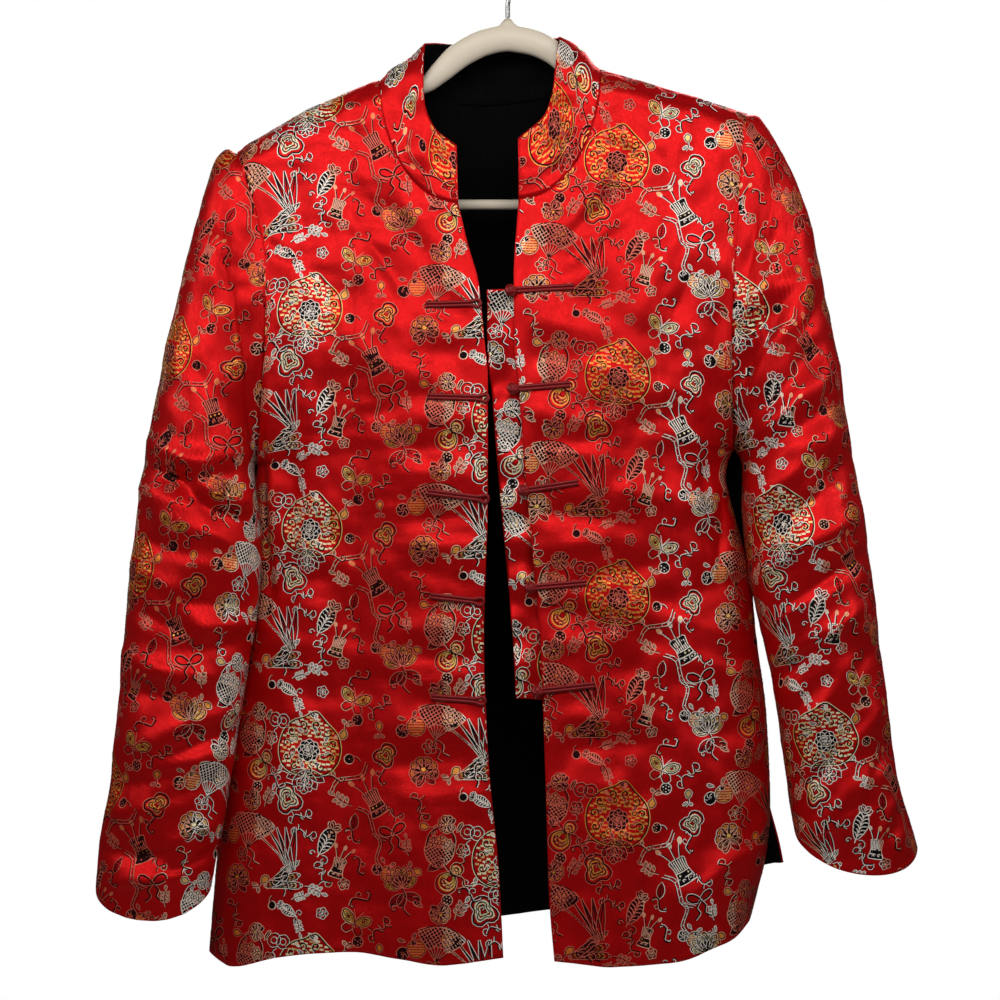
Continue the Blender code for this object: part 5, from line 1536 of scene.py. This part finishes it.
# Frogs
CORD_RADIUS = 1.35
CORD_SIDES = 10
CORDS_APART = 1.25  # from the frog's middle to the middle of each cord
EYE_LENGTH = 9.0
EYE = ((-6, -1.9), (-3.6, -2.9), (-1.2, -2.4), (-0.2, 0), (-1.2, 2.4), (-3.6, 2.9), (-6, 1.9))
KNOT_RADIUS = 3.3
KNOT_WRAP = 1.5
KNOT_WRAPS = ((20, 0, 0), (75, 0, 30), (20, 90, 25))  # turns of the knot's cords, in degrees


def tube(bm, line, radius, closed=False):
    """A round cord along a line in millimetres."""
    line = np.asarray(line, float)
    run = unit(np.gradient(line, axis=0))
    if closed:
        run[0] = run[-1] = unit(line[1] - line[-2])
    up = np.array((0.0, -1.0, 0.0))
    if abs(run @ up).max() > 0.9:
        up = np.array((0.3, 0.2, 0.93))
    side = unit(np.cross(run, up))
    top = np.cross(side, run)
    angles = np.linspace(0, 2 * math.pi, CORD_SIDES + 1)[None, :, None]
    rings = line[:, None] + (side[:, None] * np.cos(angles) + top[:, None] * np.sin(angles)) * radius
    made = bmesh.ops.create_grid(bm, x_segments=CORD_SIDES, y_segments=len(line) - 1, size=0.5)
    for vert in made["verts"]:
        around = round((vert.co.x + 0.5) * CORD_SIDES)
        along = round((vert.co.y + 0.5) * (len(line) - 1))
        vert.co = rings[along, around] * MM
    bmesh.ops.remove_doubles(bm, verts=made["verts"], dist=1e-6)
    if not closed:
        kept = [vert for vert in made["verts"] if vert.is_valid]
        rims = {edge for vert in kept for edge in vert.link_edges if edge.is_boundary}
        bmesh.ops.holes_fill(bm, edges=list(rims))


def frog_line(tree, frog, places):
    """Points over a front, at (along, up) places from a frog's outer end, a cord's radius off the cloth."""
    start = np.array((frog.outer_x, frog.outer_z))
    run = unit(np.array((frog.inner_x - frog.outer_x, frog.inner_z - frog.outer_z)))
    turn = np.array((-run[1], run[0]))
    length = math.hypot(frog.inner_x - frog.outer_x, frog.inner_z - frog.outer_z)
    line = []
    for along, up in places:
        x, z = start + run * along + turn * up
        rest_x, rest_z = start + run * min(along, length - EDGE_MARGIN) + turn * up
        y = tree.ray_cast(Vector((rest_x, -1000, rest_z)), Vector((0, 1, 0)))[0].y
        line.append((x, y - CORD_RADIUS * 0.8, z))
    return np.array(line)


def add_frog(name, bm):
    bmesh.ops.recalc_face_normals(bm, faces=bm.faces[:])
    add_object(name, bm, (CORD,), name)


def make_frogs(right, left):
    tree = cloth_tree(right.points)
    for number, frog in enumerate(LOOPS, 1):
        length = math.hypot(frog.inner_x - frog.outer_x, frog.inner_z - frog.outer_z)
        there = [(along, -CORDS_APART) for along in np.linspace(0, length - EYE_LENGTH, 16)]
        eye = [(length + along, up) for along, up in EYE]
        back = [(along, CORDS_APART) for along in np.linspace(length - EYE_LENGTH, 0, 16)]
        bm = bmesh.new()
        tube(bm, frog_line(tree, frog, there + eye + back), CORD_RADIUS)
        add_frog(f"loop_{number}", bm)
    tree = cloth_tree(left.points)
    for number, frog in enumerate(KNOTS, 1):
        length = math.hypot(frog.inner_x - frog.outer_x, frog.inner_z - frog.outer_z)
        bm = bmesh.new()
        for up in (-CORDS_APART, CORDS_APART):
            tube(bm, frog_line(tree, frog, [(along, up) for along in np.linspace(0, length - 2, 18)]),
                 CORD_RADIUS)
        middle = frog_line(tree, frog, [(length, 0)])[0] - (0, KNOT_RADIUS * 0.8, 0)
        made = bmesh.ops.create_uvsphere(bm, u_segments=16, v_segments=10, radius=KNOT_RADIUS * MM)
        bmesh.ops.translate(bm, verts=made["verts"], vec=middle * MM)
        for turns in KNOT_WRAPS:
            matrix = Euler([math.radians(turn) for turn in turns]).to_matrix()
            angles = np.linspace(0, 2 * math.pi, 25)
            loop = [matrix @ Vector((math.cos(a), math.sin(a), 0)) * KNOT_RADIUS for a in angles]
            tube(bm, np.array(loop) + middle, KNOT_WRAP, True)
        add_frog(f"knot_{number}", bm)


# Hanger
HANGER_STEPS = 260
HANGER_SIDES = 20
HANGER_THICKNESS = 12.0
HANGER_FOOT_THICKNESS = 8.0
HANGER_FOOT_TOP = -150.0
HANGER_FOOT_RISE = 40.0
NUB_WIDTH = 3.6
NUB_BOTTOM = -90.0


def make_hanger():
    bars = np.array(HANGER_BARS)
    way = np.arange(len(bars) + 1, dtype=float)
    looped = np.concatenate((bars, bars[:1]))
    fine = smooth_stack(way, looped, np.linspace(0, len(bars), HANGER_STEPS + 1)[:-1])
    middle = fine[:, :2]
    run = unit(np.roll(middle, -1, axis=0) - np.roll(middle, 1, axis=0))
    upward = np.stack((-run[:, 1], run[:, 0]), -1)
    at_foot = np.arange(len(fine)) / HANGER_STEPS * len(bars) > len(bars) - HANGER_FOOT_BARS
    foot = np.clip((HANGER_FOOT_TOP - fine[:, 1]) / HANGER_FOOT_RISE, 0, 1) * at_foot
    thickness = mix(HANGER_THICKNESS, HANGER_FOOT_THICKNESS, foot)
    angles = np.linspace(0, 2 * math.pi, HANGER_SIDES + 1)
    rounded = np.sign(np.sin(angles)) * np.abs(np.sin(angles)) ** 0.8
    rings = []
    for place, point in enumerate(middle):
        top = fine[place, 2] / 2
        nub = max(NUB_TOP - point[1] - top, 0) * math.exp(-((point[0] / NUB_WIDTH) ** 2))
        nub = nub if point[1] > NUB_BOTTOM else 0
        stretch = top + nub * np.clip((np.sin(angles) - 0.9) / 0.1, 0, 1)
        rise = stretch * rounded
        rings.append(np.stack((point[0] + upward[place, 0] * rise,
                               thickness[place] / 2 * np.cos(angles),
                               point[1] + upward[place, 1] * rise), -1))
    rings.append(rings[0])
    rings = np.array(rings)
    bm = bmesh.new()
    bmesh.ops.create_grid(bm, x_segments=HANGER_SIDES, y_segments=HANGER_STEPS, size=0.5)
    for vert in bm.verts:
        around = round((vert.co.x + 0.5) * HANGER_SIDES)
        along = round((vert.co.y + 0.5) * HANGER_STEPS)
        vert.co = rings[along, around] * MM
    bmesh.ops.remove_doubles(bm, verts=bm.verts, dist=1e-6)
    bmesh.ops.recalc_face_normals(bm, faces=bm.faces[:])
    add_object("hanger_bar", bm, (PLASTIC,), "hanger")


right_cloth, left_cloth = make_body()
make_sleeves()
make_collar()
make_placket()
make_frogs(right_cloth, left_cloth)
make_hanger()


# Stage, lights and camera, in metres
FLOOR_RADIUS = 5.0
FLOOR_HEIGHT = -1.6
CAMERA_PLACE = (-0.006, -2.62, -0.434)
CAMERA_LENS = 121.6
Lamp = namedtuple("Lamp", "name place aim size power")
LAMPS = (
    Lamp("key", (-0.05, -0.95, 0.27), (0, 0, -0.2), (1.6, 0.42), 9.5),
    Lamp("fill", (0.4, -2.4, -0.2), (0, 0, -0.45), (1.6, 1.2), 0.5),
    Lamp("side_right", (-1.0, -0.40, 0.10), (-0.22, 0, -0.22), (0.5, 0.4), 2.6),
    Lamp("side_left", (1.0, -0.40, 0.12), (0.20, 0, -0.18), (0.5, 0.4), 3.2),
    Lamp("back", (0.08, 0.95, 0.30), (0, 0, -0.2), (0.9, 0.45), 9),
)


def make_stage():
    bm = bmesh.new()
    bmesh.ops.create_circle(bm, cap_ends=True, segments=96, radius=FLOOR_RADIUS)
    bmesh.ops.translate(bm, verts=bm.verts, vec=(0, 0, FLOOR_HEIGHT))
    mesh = bpy.data.meshes.new("floor")
    bm.to_mesh(mesh)
    bm.free()
    paint = new_material("floor_paint", (0.86, 0.86, 0.86), 0.9)
    mesh.materials.append(paint)
    nodes = paint.node_tree.nodes
    seen = nodes.new("ShaderNodeEmission")
    seen.inputs["Color"].default_value = (0.93, 0.93, 0.93, 1)
    rays = nodes.new("ShaderNodeLightPath")
    pick = nodes.new("ShaderNodeMixShader")
    link(paint, rays.outputs["Is Camera Ray"], pick.inputs["Fac"])
    link(paint, nodes["Principled BSDF"].outputs["BSDF"], pick.inputs[1])
    link(paint, seen.outputs["Emission"], pick.inputs[2])
    link(paint, pick.outputs["Shader"], nodes["Material Output"].inputs["Surface"])
    floor = bpy.data.objects.new("floor", mesh)
    bpy.context.scene.collection.objects.link(floor)


def make_light(lamp):
    data = bpy.data.lights.new(lamp.name, "AREA")
    data.shape = "RECTANGLE"
    data.size, data.size_y = lamp.size
    data.energy = lamp.power
    light = bpy.data.objects.new(lamp.name, data)
    light.location = lamp.place
    way = Vector(lamp.aim) - Vector(lamp.place)
    light.rotation_euler = way.to_track_quat("-Z", "Y").to_euler()
    bpy.context.scene.collection.objects.link(light)


def make_world():
    world = bpy.data.worlds.new("studio")
    world.use_nodes = True
    bpy.context.scene.world = world
    tree = world.node_tree
    back = tree.nodes["Background"]
    back.inputs["Color"].default_value = (0.95, 0.95, 0.95, 1)
    back.inputs["Strength"].default_value = 0.05
    seen = tree.nodes.new("ShaderNodeBackground")
    seen.inputs["Color"].default_value = (1, 1, 1, 1)
    seen.inputs["Strength"].default_value = 1.0
    rays = tree.nodes.new("ShaderNodeLightPath")
    pick = tree.nodes.new("ShaderNodeMixShader")
    tree.links.new(rays.outputs["Is Camera Ray"], pick.inputs["Fac"])
    tree.links.new(back.outputs["Background"], pick.inputs[1])
    tree.links.new(seen.outputs["Background"], pick.inputs[2])
    tree.links.new(pick.outputs["Shader"], tree.nodes["World Output"].inputs["Surface"])


def make_camera():
    data = bpy.data.cameras.new("camera")
    data.lens = CAMERA_LENS
    data.sensor_width = 36.0
    camera = bpy.data.objects.new("camera", data)
    camera.location = CAMERA_PLACE
    camera.rotation_euler = (math.radians(90), 0, 0)
    bpy.context.scene.collection.objects.link(camera)
    bpy.context.scene.camera = camera


make_stage()
make_world()
for one in LAMPS:
    make_light(one)
make_camera()
bpy.context.scene.view_settings.view_transform = "Standard"

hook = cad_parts["hook"]
hook.data.materials.clear()
hook.data.materials.append(WIRE)
